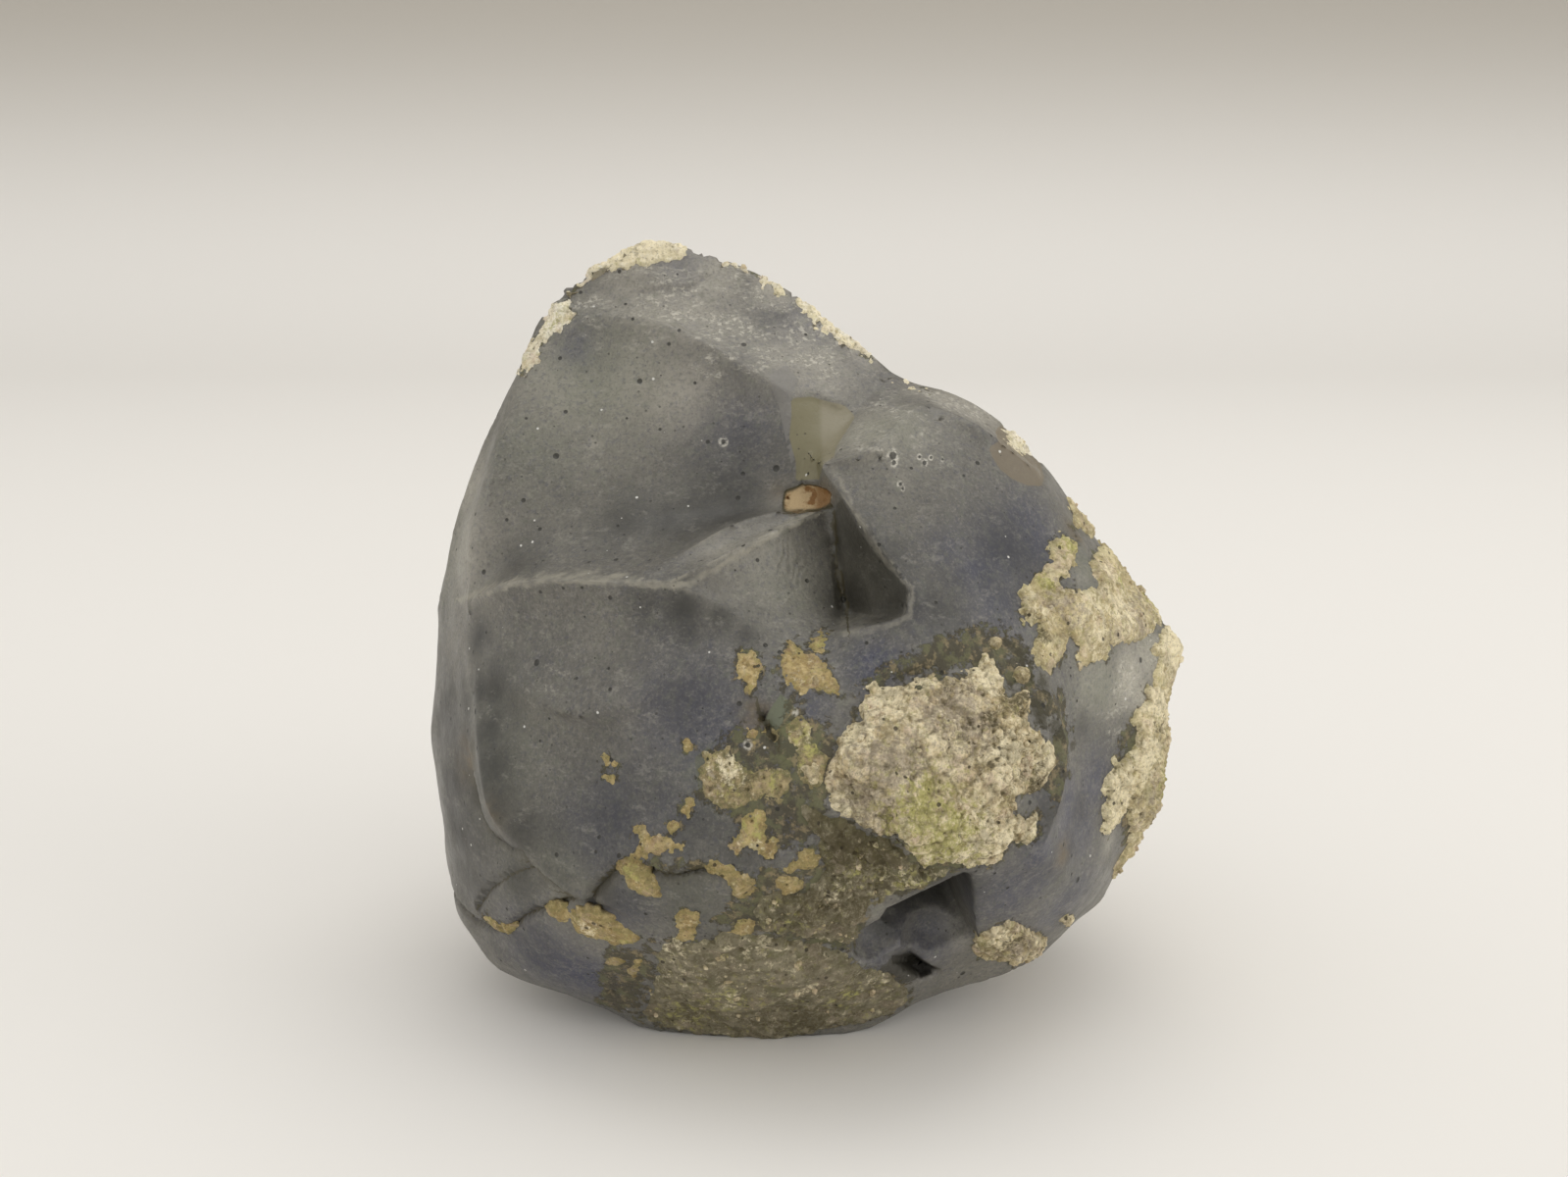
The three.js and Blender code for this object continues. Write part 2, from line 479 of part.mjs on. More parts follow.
// One crust: a lumpy cap that follows the glass beneath it, with its underside sunk in the glass.
function crust({ at, facing, reach, rim, middle, lumps }, glass) {
  const out = vector(facing).normalize();
  const right = new THREE.Vector3(0, 0, 1).cross(out).normalize();
  const up = out.clone().cross(right);
  const farthest = Math.max(...reach);
  const ringCount = Math.max(2, Math.round(farthest / crustStep));
  const count = Math.max(12, Math.round(1.55 * Math.PI * farthest / crustStep));
  const ray = new THREE.Raycaster();
  const onPlane = (share, angle) => {
    const turn = angle * reach.length;
    const i = Math.floor(turn) % reach.length;
    const length = THREE.MathUtils.lerp(reach[i], reach[(i + 1) % reach.length], turn - Math.floor(turn));
    const p = vector(at).addScaledVector(right, share * length * Math.cos(angle * 2 * Math.PI));
    p.addScaledVector(up, share * length * Math.sin(angle * 2 * Math.PI));
    return p.lerp(vector(at), share * ragged * Math.abs(wander(p, 3.1, 1)));
  };
  const glassUnder = (p) => {
    ray.set(p.clone().addScaledVector(out, farAbove), out.clone().negate());
    const hit = ray.intersectObject(glass)[0]?.point;
    return hit && hit.distanceTo(p) < crustReach ? hit : null;
  };
  // Where the glass falls away before the crust's reach is up, the crust ends there.
  const onGlass = (share, angle) => {
    let end = 1;
    while (end > 0.4 && !glassUnder(onPlane(end, angle))) end -= 0.1;
    const p = onPlane(share * end, angle);
    return glassUnder(p) ?? p;
  };
  const ring = (share, height) => {
    const size = Math.max(1, Math.ceil(count * share));
    return Array.from({ length: size }, (_, i) => {
      const p = onGlass(share, i / size);
      const swell = share === 1 ? 0.4 * wander(p, 5) : wander(p, 9) + 0.6 * wander(p, 4.3, 2);
      return p.addScaledVector(out, height + (height > 0 ? lumps * swell : 0));
    });
  };
  const rings = [ring(0, -crustRoot), ring(crustFoot, -crustRoot), ring(1, rim * 0.4)];
  for (let k = ringCount; k >= 0; k -= 1) {
    const share = k / ringCount;
    rings.push(ring(share * crustBrow, THREE.MathUtils.lerp(middle, rim, share ** 3)));
  }
  const under = zip(rings[0], rings[1]).map((t) => t.reverse());
  const walls = rings.slice(1, -1).flatMap((outer, i) => zip(rings[i + 2], outer));
  return solid([...under, ...walls]);
}

// The V-shaped blade that opens a crack: wide at its mouth and closing at its ends.
function blade({ into, line }) {
  const inward = vector(into).normalize();
  const path = new THREE.CatmullRomCurve3(line.map(vector), false, 'centripetal');
  const count = Math.max(2, Math.round(path.getLength() / (facetStep * 0.6)));
  const sections = Array.from({ length: count + 1 }, (_, i) => {
    const share = i / count;
    const p = path.getPointAt(share);
    const side = inward.clone().cross(path.getTangentAt(share)).normalize();
    const open = Math.sin(Math.PI * THREE.MathUtils.clamp(share, crackEnd, 1 - crackEnd)) ** 0.5;
    const mouth = p.clone().addScaledVector(inward, -crackDepth);
    return [
      mouth.clone().addScaledVector(side, crackWidth * open),
      mouth.clone().addScaledVector(side, -crackWidth * open),
      p.clone().addScaledVector(inward, crackDepth * open),
    ];
  });
  const sides = sections.slice(1).flatMap((section, i) => zip(sections[i], section));
  return solid([sections[0], ...sides, [...sections[count]].reverse()]);
}

// A leaning egg of small triangles.
function scoop({ at, size, lean }) {
  const shape = new THREE.IcosahedronGeometry(1, 2);
  shape.scale(...size);
  shape.rotateY(lean);
  shape.translate(...at);
  const { position } = shape.attributes;
  const point = (i) => new THREE.Vector3().fromBufferAttribute(position, i);
  const starts = Array.from({ length: position.count / 3 }, (_, i) => i * 3);
  return solid(starts.map((i) => [point(i), point(i + 1), point(i + 2)]));
}

// A pyramid from a mouth on the surface to a point inside.
function bite({ mouth, tip }) {
  const rim = mouth.map(vector);
  const end = vector(tip);
  const sides = rim.map((p, i) => [rim[(i + 1) % rim.length], p, end]);
  const cap = rim.slice(2).map((p, i) => [rim[0], rim[i + 1], p]);
  return solid([...sides, ...cap]);
}

let body = glassBody();
const glassSurface = new THREE.Mesh(geometryOf(body));
for (const mass of crusts) body = body.add(crust(mass, glassSurface));
for (const hollow of [...bites.map(bite), ...scoops.map(scoop)]) body = body.subtract(hollow);
for (const crack of cracks) body = body.subtract(blade(crack));

const geometry = geometryOf(body);
geometry.computeBoundingBox();
const { min, max } = geometry.boundingBox;
geometry.translate(-(min.x + max.x) / 2, -(min.y + max.y) / 2, -min.z);
geometry.computeVertexNormals();

const glass = new THREE.MeshStandardMaterial({ color: 0x6c7076, roughness: 0.4, metalness: 0 });
const chunk = new THREE.Mesh(geometry, glass);
chunk.name = 'slag_glass_chunk';
const part = new THREE.Group();
part.add(chunk);

export default part;
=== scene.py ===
import math
import bpy
import bmesh
import numpy as np
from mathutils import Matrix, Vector, noise
from mathutils.bvhtree import BVHTree
from mathutils.kdtree import KDTree


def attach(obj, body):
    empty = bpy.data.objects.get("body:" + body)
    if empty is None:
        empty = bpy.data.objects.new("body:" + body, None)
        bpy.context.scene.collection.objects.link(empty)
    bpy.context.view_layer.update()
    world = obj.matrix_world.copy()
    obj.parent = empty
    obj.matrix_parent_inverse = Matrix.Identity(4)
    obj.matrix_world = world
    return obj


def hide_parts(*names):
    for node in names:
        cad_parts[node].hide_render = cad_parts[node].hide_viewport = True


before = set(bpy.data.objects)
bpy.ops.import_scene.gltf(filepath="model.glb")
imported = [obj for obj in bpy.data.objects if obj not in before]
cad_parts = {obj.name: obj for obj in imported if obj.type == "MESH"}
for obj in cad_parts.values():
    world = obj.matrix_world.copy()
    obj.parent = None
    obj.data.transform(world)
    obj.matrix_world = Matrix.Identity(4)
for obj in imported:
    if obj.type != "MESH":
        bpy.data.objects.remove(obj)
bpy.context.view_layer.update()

mm = 0.001  # everything is worked out in millimetres, and written in metres
chunkNode = "slag_glass_chunk"
frontDepth = 6.0  # what is drawn on the front reaches back to this y
farOff = 99.0  # a gap as good as endless
tiny = 1e-12  # keeps a division by zero away
patterns = {  # what the shared noises and shapes are made with
    "spotFade": 1.2,
    "blobMelt": 0.22,  # round blobs melt together over this gap
    "roughness": 2.1,  # how much finer each octave of noise is
    "domeReach": 0.8,
    "domeSpread": 0.25,
    "blockWarp": 0.22,
    "blockWarpWave": 0.7,
}


def placeObject(name, data):
    placed = bpy.data.objects.new(name, data)
    bpy.context.scene.collection.objects.link(placed)
    return placed


def readQuads(mesh):
    points = np.empty(len(mesh.vertices) * 3)
    mesh.vertices.foreach_get("co", points)
    corners = np.empty(len(mesh.loops), dtype=np.int64)
    mesh.loops.foreach_get("vertex_index", corners)
    return points.reshape(-1, 3) / mm, corners.reshape(-1, 4)


def writeMesh(name, points, faces):
    mesh = bpy.data.meshes.new(name)
    mesh.from_pydata((points * mm).tolist(), [], faces.tolist())
    mesh.update()
    mesh.shade_smooth()
    return placeObject(name, mesh)


def storeFields(piece, fields):
    for name, values in fields.items():
        layer = piece.data.attributes.new(name, "FLOAT", "POINT")
        layer.data.foreach_set("value", np.asarray(values, dtype=np.float32))


def evaluated(draft):
    return bpy.data.meshes.new_from_object(draft.evaluated_get(bpy.context.evaluated_depsgraph_get()))


def faceNormalsOf(corners):  # each as long as twice its face's area
    return np.cross(corners[:, 2] - corners[:, 0], corners[:, 3] - corners[:, 1])


def normalsOf(points, quads):
    faceNormals = faceNormalsOf(points[quads])
    normals = np.zeros_like(points)
    for corner in range(4):
        for axis in range(3):
            normals[:, axis] += np.bincount(quads[:, corner], faceNormals[:, axis], len(points))
    return normals / (np.linalg.norm(normals, axis=1)[:, None] + tiny)


def sidesOf(quads):
    return np.vstack([quads[:, [i, (i + 1) % 4]] for i in range(4)])


def edgesOf(quads):
    return np.unique(np.sort(sidesOf(quads), axis=1), axis=0)


def spread(values, edges, rounds, amount=0.5):  # evens values out over their neighbours
    values = values.copy()
    ends = np.concatenate([edges[:, 0], edges[:, 1]])
    others = np.concatenate([edges[:, 1], edges[:, 0]])
    count = np.bincount(ends, minlength=len(values))
    columns = values.reshape(len(values), -1)
    for _ in range(rounds):
        for axis in range(columns.shape[1]):
            mean = np.bincount(ends, columns[others, axis], len(values)) / count
            columns[:, axis] += amount * (mean - columns[:, axis])
    return values


def cloud(points, wave, octaves, shift):  # soft noise, about -1 to 1
    placed = (points / wave + shift).tolist()
    return np.array([noise.fractal(p, 1.0, patterns["roughness"], octaves) for p in placed])


def cells(points, wave, shift, warp=0.0):  # how near a cell's middle and border are, and its own chance
    near, seam, chance = [], [], []
    for p in (points / wave + shift + warp).tolist():
        gaps, middles = noise.voronoi(p)
        near.append(gaps[0])
        seam.append(gaps[1] - gaps[0])
        chance.append(noise.cell(middles[0] * 7.0 + Vector((0.5, 0.5, 0.5))))
    return np.array(near), np.array(seam), np.array(chance)


def domes(points, wave, shift):  # round-topped lumps with creases between them, 0 to 1
    near, _, chance = cells(points, wave, shift)
    height = 1 - patterns["domeSpread"] + patterns["domeSpread"] * chance
    return np.sqrt(np.clip(1 - (near / patterns["domeReach"]) ** 2, 0, 1)) * height


def blocks(points, wave, shift):  # broken lumps: each one's own chance, and how near its border is
    warpWave = wave * patterns["blockWarpWave"]
    warp = np.column_stack([cloud(points, warpWave, 2, shift + part) for part in (1.3, 4.9, 8.1)])
    _, seam, chance = cells(points, wave, shift, patterns["blockWarp"] * warp)
    return chance, seam


def ease(low, high, values):
    share = np.clip((values - low) / (high - low), 0, 1)
    return share * share * (3 - 2 * share)


def spots(points, places):  # soft round spots: x, y, z, reach, strength
    total = np.zeros(len(points))
    for x, y, z, reach, strength in places:
        gap = np.linalg.norm(points - (x, y, z), axis=1) / reach
        total = np.maximum(total, strength * np.exp(-gap ** 2 * patterns["spotFade"]))
    return total


def blobGap(points, blobs, deepest):  # millimetres to round blobs on the front: x, z, radius
    melt = patterns["blobMelt"]
    share = np.full(len(points), 1e-6)
    for x, z, radius in blobs:
        gap = np.hypot(points[:, 0] - x, points[:, 2] - z) - radius
        share += np.exp(np.clip(-gap / melt, -40, 12))
    return np.maximum(-melt * np.log(share), points[:, 1] - deepest)


def patchGap(points, patches):  # millimetres to the outline of egg-shaped patches, negative inside
    gap = np.full(len(points), farOff)
    for middle, halves in patches:
        share = np.linalg.norm((points - middle) / halves, axis=1)
        gap = np.minimum(gap, (share - 1) * min(halves[0], halves[2]))
    return gap


def toSegment(flat, a, b):
    span = b - a
    along = np.clip(((flat - a) @ span) / (span @ span), 0, 1)
    nearest = a + along[:, None] * span
    return nearest, np.linalg.norm(flat - nearest, axis=1)


def outlineGap(points, outline, deepest=frontDepth):  # the same for an outline of x, z drawn on the front
    flat = points[:, [0, 2]]
    corners = np.array(outline, dtype=float)
    gap = np.full(len(flat), farOff)
    inside = np.zeros(len(flat), dtype=bool)
    for a, b in zip(corners, np.roll(corners, -1, axis=0)):
        gap = np.minimum(gap, toSegment(flat, a, b)[1])
        if a[1] != b[1]:
            crossing = (b[0] - a[0]) * (flat[:, 1] - a[1]) / (b[1] - a[1]) + a[0]
            inside ^= ((a[1] > flat[:, 1]) != (b[1] > flat[:, 1])) & (flat[:, 0] < crossing)
    return np.maximum(np.where(inside, -gap, gap), points[:, 1] - deepest)


def lineGap(points, line):  # distance to a line of x, z on the front, its nearest point and side
    flat = points[:, [0, 2]]
    corners = np.array(line, dtype=float)
    gap = np.full(len(flat), farOff)
    nearest = flat.copy()
    side = np.ones(len(flat))
    for a, b in zip(corners[:-1], corners[1:]):
        place, reach = toSegment(flat, a, b)
        closer = reach < gap
        gap = np.where(closer, reach, gap)
        nearest[closer] = place[closer]
        turn = (b[0] - a[0]) * (flat[:, 1] - a[1]) - (b[1] - a[1]) * (flat[:, 0] - a[0])
        side = np.where(closer, np.sign(turn), side)
    return np.where(points[:, 1] < frontDepth, gap, farOff), nearest, side


def feed(tree, made, inputs):  # a socket is linked, and a plain value is set
    for name, value in inputs.items():
        if isinstance(value, bpy.types.NodeSocket):
            tree.links.new(value, made.inputs[name])
        else:
            made.inputs[name].default_value = value


def addNode(tree, kind, inputs=None, **settings):
    made = tree.nodes.new(kind)
    for name, value in settings.items():
        setattr(made, name, value)
    feed(tree, made, inputs or {})
    return made


def calculate(tree, operation, *values, clamp=False):
    inputs = dict(enumerate(values))
    return addNode(tree, "ShaderNodeMath", inputs, operation=operation, use_clamp=clamp).outputs[0]


def times(tree, first, second, clamp=False):
    return calculate(tree, "MULTIPLY", first, second, clamp=clamp)


def plus(tree, first, second, clamp=False):
    return calculate(tree, "ADD", first, second, clamp=clamp)


def minus(tree, first, second):
    return calculate(tree, "SUBTRACT", first, second)


def larger(tree, first, second):
    return calculate(tree, "MAXIMUM", first, second)


def onVectors(tree, operation, inputs, output="Vector"):
    return addNode(tree, "ShaderNodeVectorMath", inputs, operation=operation).outputs[output]


def remap(tree, value, low, high, toLow=0.0, toHigh=1.0):
    inputs = {"Value": value, "From Min": low, "From Max": high, "To Min": toLow, "To Max": toHigh}
    return addNode(tree, "ShaderNodeMapRange", inputs, interpolation_type="SMOOTHSTEP").outputs[0]


def blendColors(tree, share, first, second):
    return addNode(tree, "ShaderNodeMix", {0: share, 6: first, 7: second}, data_type="RGBA").outputs[2]


def layered(tree, color, layers):  # each: a pattern, where it starts and is full, its strength, a tone
    for pattern, low, high, strength, tone in layers:
        color = blendColors(tree, remap(tree, pattern, low, high, 0.0, strength), color, tone)
    return color


def readField(tree, name):
    return addNode(tree, "ShaderNodeAttribute", attribute_name=name).outputs["Fac"]


def objectSpace(tree):
    return addNode(tree, "ShaderNodeTexCoord").outputs["Object"]


def noiseAt(tree, wave, detail=4.0, rough=0.55, shift=0.0, stretch=1.0, turn=0.0):  # wave in millimetres
    place = objectSpace(tree)
    if shift or stretch != 1:  # the pattern is drawn out sideways
        inputs = {"Vector": place, "Location": (shift, shift, shift), "Rotation": (0, turn, 0),
                  "Scale": (1 / stretch, 1 / stretch, 1)}
        place = addNode(tree, "ShaderNodeMapping", inputs).outputs[0]
    inputs = {"Vector": place, "Scale": 1 / (wave * mm), "Detail": detail, "Roughness": rough}
    return addNode(tree, "ShaderNodeTexNoise", inputs).outputs["Fac"]


def startGroup(name, inputs, outputs):
    tree = bpy.data.node_groups.new(name, "ShaderNodeTree")
    kinds = {"value": "NodeSocketFloat", "color": "NodeSocketColor", "place": "NodeSocketVector"}
    for socketName, kind, default in inputs:
        socket = tree.interface.new_socket(socketName, in_out="INPUT", socket_type=kinds[kind])
        socket.default_value = default
    for socketName, kind in outputs:
        tree.interface.new_socket(socketName, in_out="OUTPUT", socket_type=kinds[kind])
    return tree, tree.nodes.new("NodeGroupInput").outputs, tree.nodes.new("NodeGroupOutput")


def useGroup(tree, group, inputs):
    return addNode(tree, "ShaderNodeGroup", inputs, node_tree=group).outputs


def startMaterial(name):
    material = bpy.data.materials.new(name)
    material.use_nodes = True
    return material, material.node_tree, material.node_tree.nodes["Principled BSDF"]


view = {
    "place": (-2.588, -231.237, 110.922),  # millimetres
    "down": 13.5,  # degrees below level
    "lens": 40.0,
    "sensor": 36.0,
    "nearest": 0.01,  # metres
}
cameraData = bpy.data.cameras.new("camera")
cameraData.lens = view["lens"]
cameraData.sensor_width = view["sensor"]
cameraData.clip_start = view["nearest"]
camera = placeObject("camera", cameraData)
camera.location = Vector(view["place"]) * mm
camera.rotation_euler = (math.radians(90 - view["down"]), 0, 0)
bpy.context.scene.camera = camera
print("camera placed")


# The lump is the solid's surface rounded off and evened out, with its ridges kept sharp.
lump = {
    "weld": 0.002,
    "softAngle": 16,  # degrees: an edge this flat is smoothed away
    "sharpAngle": 34,  # degrees: an edge this steep stays a ridge
    "rounding": 2,
    "grid": 0.66,
    "settling": 2,  # rounds of evening after the grid
    "ridgeAngles": (15, 45),  # degrees: where a ridge starts, and where it is as sharp as can be
    "ridgeSteps": 7,
    "snap": 0.47,  # points this near a ridge are moved onto it
    "snapSharpness": 0.06,
    "apart": 0.2,  # and no two of them this close together
    "highlightSharpness": 0.1,
    "highlightReach": 0.34,
    "evening": 70,  # rounds of evening where crust and cracks cover the solid's own
    "mostEvening": 0.7,
    "swell": 0.22,
    "swellWave": 11.0,
    "ripple": 0.05,
    "rippleWave": 2.6,
    "softRidges": [  # spots of x, y, z, reach, strength: ridges that are rounder than the solid's
        (-32, 6, 92, 6, 1.0), (-24, 5, 93, 6, 1.0), (-16, 2, 91, 6, 1.0), (-8, -2, 87, 5, 0.9),
        (-40, -19, 49, 4, 1.0), (-36, -23, 47, 4, 1.0), (-31, -28, 43.5, 4, 1.0), (-25.5, -31, 45, 4, 1.0),
        (-19, -32, 50, 4, 1.0), (-13, -33, 53, 4, 1.0), (12, -33, 57, 2.5, 0.9), (12.5, -35, 54.5, 3, 0.9),
        (-41, -21, 43, 5, 1.0), (-41, -16, 54, 4, 0.8), (-39, -25, 36, 6, 1.0), (-35, -29, 30, 4, 0.8),
        (-36, -18, 6, 12, 1.0), (-20, -22, 3, 12, 1.0), (0, -24, 2, 14, 1.0), (20, -22, 4, 12, 1.0),
        (-47, -2, 42, 9, 0.8), (-47, -4, 28, 9, 0.9), (-43, -6, 16, 9, 0.9), (-36, -8, 7, 10, 1.0)],
    "highlightRidges": [  # ridges given a painted highlight
        (-41, -17, 57, 5, 0.9), (-34, -21, 61, 6, 1.0), (-25, -25, 62, 6, 1.0), (-17, -27, 63, 5, 1.0),
        (-10, -24, 66, 5, 1.0), (-5, -23, 67.5, 5, 1.0), (0, -21, 69, 5, 1.0), (3, -16, 75, 4, 1.0),
        (7, -22, 70, 5, 0.9), (11, -29, 63, 5, 0.9), (8, -33, 58, 4, 0.6), (-44, -10, 60, 7, 0.4),
        (6, -14, 78, 5, 0.4), (20, 0, 81, 9, 0.4), (0, 40, 60, 45, 0.3)],
    "dullRidges": [  # and stretches of them that don't
        (3.5, -16, 66.5, 2.5, 1.0), (4, -17, 64, 2.5, 1.0), (4.3, -18.5, 61.5, 2.5, 1.0),
        (4.8, -19.7, 58.6, 2.5, 1.0)],
    "evenedPlaces": [  # where crust or a crack replaces the solid's form
        (-4, -37, 48, 8, 1.0), (-5, -41, 40, 8, 1.0), (-10, -42, 33, 6, 1.0), (-17, -40, 32, 6, 1.0),
        (-24, -37, 28, 6, 1.0), (-33, -30, 24, 6, 1.0), (-40, -23, 16, 5, 1.0), (-12, -40, 27, 6, 1.0),
        (-46, -15, 15, 5, 1.0), (-3, -41, 30, 6, 1.0), (-6, -34, 53, 4, 0.9), (0, -33, 54, 5, 0.9),
        (-27, -31, 21, 6, 0.9), (42, -15, 44, 7, 0.8), (41, -16, 20, 7, 0.8), (37, -21, 30, 6, 0.8),
        (33, -25, 50, 5, 0.8)],
    "keptPlaces": [  # but not here
        (15, -30, 20, 9, 1.0), (12, -38, 24, 7, 1.0), (6, -43, 38, 6, 1.0), (14, -42, 33, 6, 1.0)],
}


def creasedMesh(node):
    mesh = node.data.copy()
    bm = bmesh.new()
    bm.from_mesh(mesh)
    bmesh.ops.remove_doubles(bm, verts=bm.verts, dist=lump["weld"] * mm)
    crease = bm.edges.layers.float.new("crease_edge")
    middles = np.array([(edge.verts[0].co + edge.verts[1].co) / 2 / mm for edge in bm.edges])
    softness = spots(middles, lump["softRidges"])
    for edge, soft in zip(bm.edges, softness):
        angle = math.degrees(edge.calc_face_angle(0))
        share = (angle - lump["softAngle"]) / (lump["sharpAngle"] - lump["softAngle"])
        edge[crease] = min(1, max(0, share)) * (1 - soft)
    bm.to_mesh(mesh)
    bm.free()
    return mesh


def sharpPoints(points, quads):  # places along the ridges, how sharp each is, and whether it stands out
    corners = points[quads]
    faceNormals = faceNormalsOf(corners)
    faceNormals /= np.linalg.norm(faceNormals, axis=1)[:, None] + tiny
    sides = sidesOf(quads)
    owner = np.tile(np.arange(len(quads)), 4)
    order = np.lexsort(np.sort(sides, axis=1).T)
    first, second = order[0::2], order[1::2]
    bend = (faceNormals[owner[first]] * faceNormals[owner[second]]).sum(axis=1)
    angle = np.degrees(np.arccos(np.clip(bend, -1, 1)))
    across = corners.mean(axis=1)[owner[second]] - corners.mean(axis=1)[owner[first]]
    outward = (faceNormals[owner[first]] * across).sum(axis=1) < 0
    least, full = lump["ridgeAngles"]
    kept = angle > least
    ends = points[sides[first[kept]]]
    steps = np.linspace(0, 1, lump["ridgeSteps"])[:, None, None]
    places = (ends[:, 0] * (1 - steps) + ends[:, 1] * steps).reshape(-1, 3)
    sharpness = np.tile(ease(least, full, angle[kept]), lump["ridgeSteps"])
    return places, sharpness, np.tile(outward[kept], lump["ridgeSteps"])


def nearestOf(places, points):
    tree = KDTree(len(places))
    for index, place in enumerate(places.tolist()):
        tree.insert(place, index)
    tree.balance()
    found = [tree.find(point)[1:] for point in points.tolist()]
    return np.array([index for index, _ in found]), np.array([gap for _, gap in found])


def roundedLump(node):
    draft = placeObject("draft", creasedMesh(node))
    rounded = draft.modifiers.new("rounded", "SUBSURF")
    rounded.levels = rounded.render_levels = lump["rounding"]
    smoothPoints, smoothQuads = readQuads(evaluated(draft))
    evened = draft.modifiers.new("evened", "REMESH")
    evened.mode = "VOXEL"
    evened.voxel_size = lump["grid"] * mm
    points, quads = readQuads(evaluated(draft))
    bpy.data.objects.remove(draft)
    edges = edgesOf(quads)
    points = spread(points, edges, lump["settling"])
    surface = BVHTree.FromPolygons(smoothPoints.tolist(), smoothQuads.tolist())
    points = np.array([surface.find_nearest(point)[0] for point in points.tolist()])
    places, sharpness, outward = sharpPoints(smoothPoints, smoothQuads)
    index, gap = nearestOf(places, points)
    snapped = (gap < lump["snap"]) & (sharpness[index] > lump["snapSharpness"])
    landing = places[index]
    first, second = edges[snapped[edges].all(axis=1)].T
    tight = np.linalg.norm(landing[first] - landing[second], axis=1) < lump["apart"]
    first, second = first[tight], second[tight]
    snapped[np.where(gap[first] > gap[second], first, second)] = False
    points[snapped] = landing[snapped]
    # the outward ridges get a painted highlight that fades with distance from them
    pale = outward & (sharpness > lump["highlightSharpness"])
    index, gap = nearestOf(places[pale], points)
    paintedHighlight = np.exp(-(gap / lump["highlightReach"]) ** 2) * sharpness[pale][index]
    paintedHighlight *= np.clip(spots(points, lump["highlightRidges"]) - spots(points, lump["dullRidges"]), 0, 1)
    covered = spots(points, lump["evenedPlaces"]) - spots(points, lump["keptPlaces"])
    share = np.clip(covered, 0, lump["mostEvening"])
    return spread(points, edges, lump["evening"], share), quads, paintedHighlight


basePoints, baseQuads, ridgeHighlight = roundedLump(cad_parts[chunkNode])
baseNormals = normalsOf(basePoints, baseQuads)
print("lump evened out:", len(baseQuads), "faces")


# The crusts are sheets of dross that follow the glass, each with its own outline and relief.
stony = {  # what the thick crusts share
    "finish": "furnace_crust", "levels": 2, "wander": 0.5, "wanderWave": 2.0, "scallop": 0.8,
    "scallopWave": 1.5, "taper": 0.55, "rim": 0.3, "lumps": 0.45, "lumpWave": 4.0, "knobs": 0.4,
    "knobWave": 2.0, "blocks": 0.6, "blockWave": 2.6, "grain": 0.26, "grainWave": 0.8, "holes": 0.55,
    "holeShare": 0.16, "holeWave": 2.0, "fringe": 1.3, "crumbs": 0.3, "deepest": 6.0, "outlines": [],
    "blobs": [], "patches": [], "lumpy": [], "pale": [], "grey": [], "green": [], "dark": [],
}
thin = {  # and the scabs
    **stony, "finish": "scab_crust", "wander": 0.35, "wanderWave": 0.9, "scallop": 0.5, "scallopWave": 0.9,
    "taper": 0.35, "rim": 0.12, "lumps": 0.05, "lumpWave": 2.6, "knobs": 0.08, "knobWave": 1.2,
    "blocks": 0.12, "blockWave": 1.3, "grain": 0.08, "grainWave": 0.6, "holes": 0.3, "holeShare": 0.3,
    "holeWave": 1.0, "fringe": 1.1, "crumbs": 0.05,
}
bleached = {  # and the two crusts of the right slope
    **stony, "finish": "bleached_crust", "lumps": 0.4, "lumpWave": 5.0, "knobs": 0.3, "rim": 0.25,
    "fringe": 0.5, "blocks": 0.3, "blockWave": 4.0, "grain": 0.18,
}
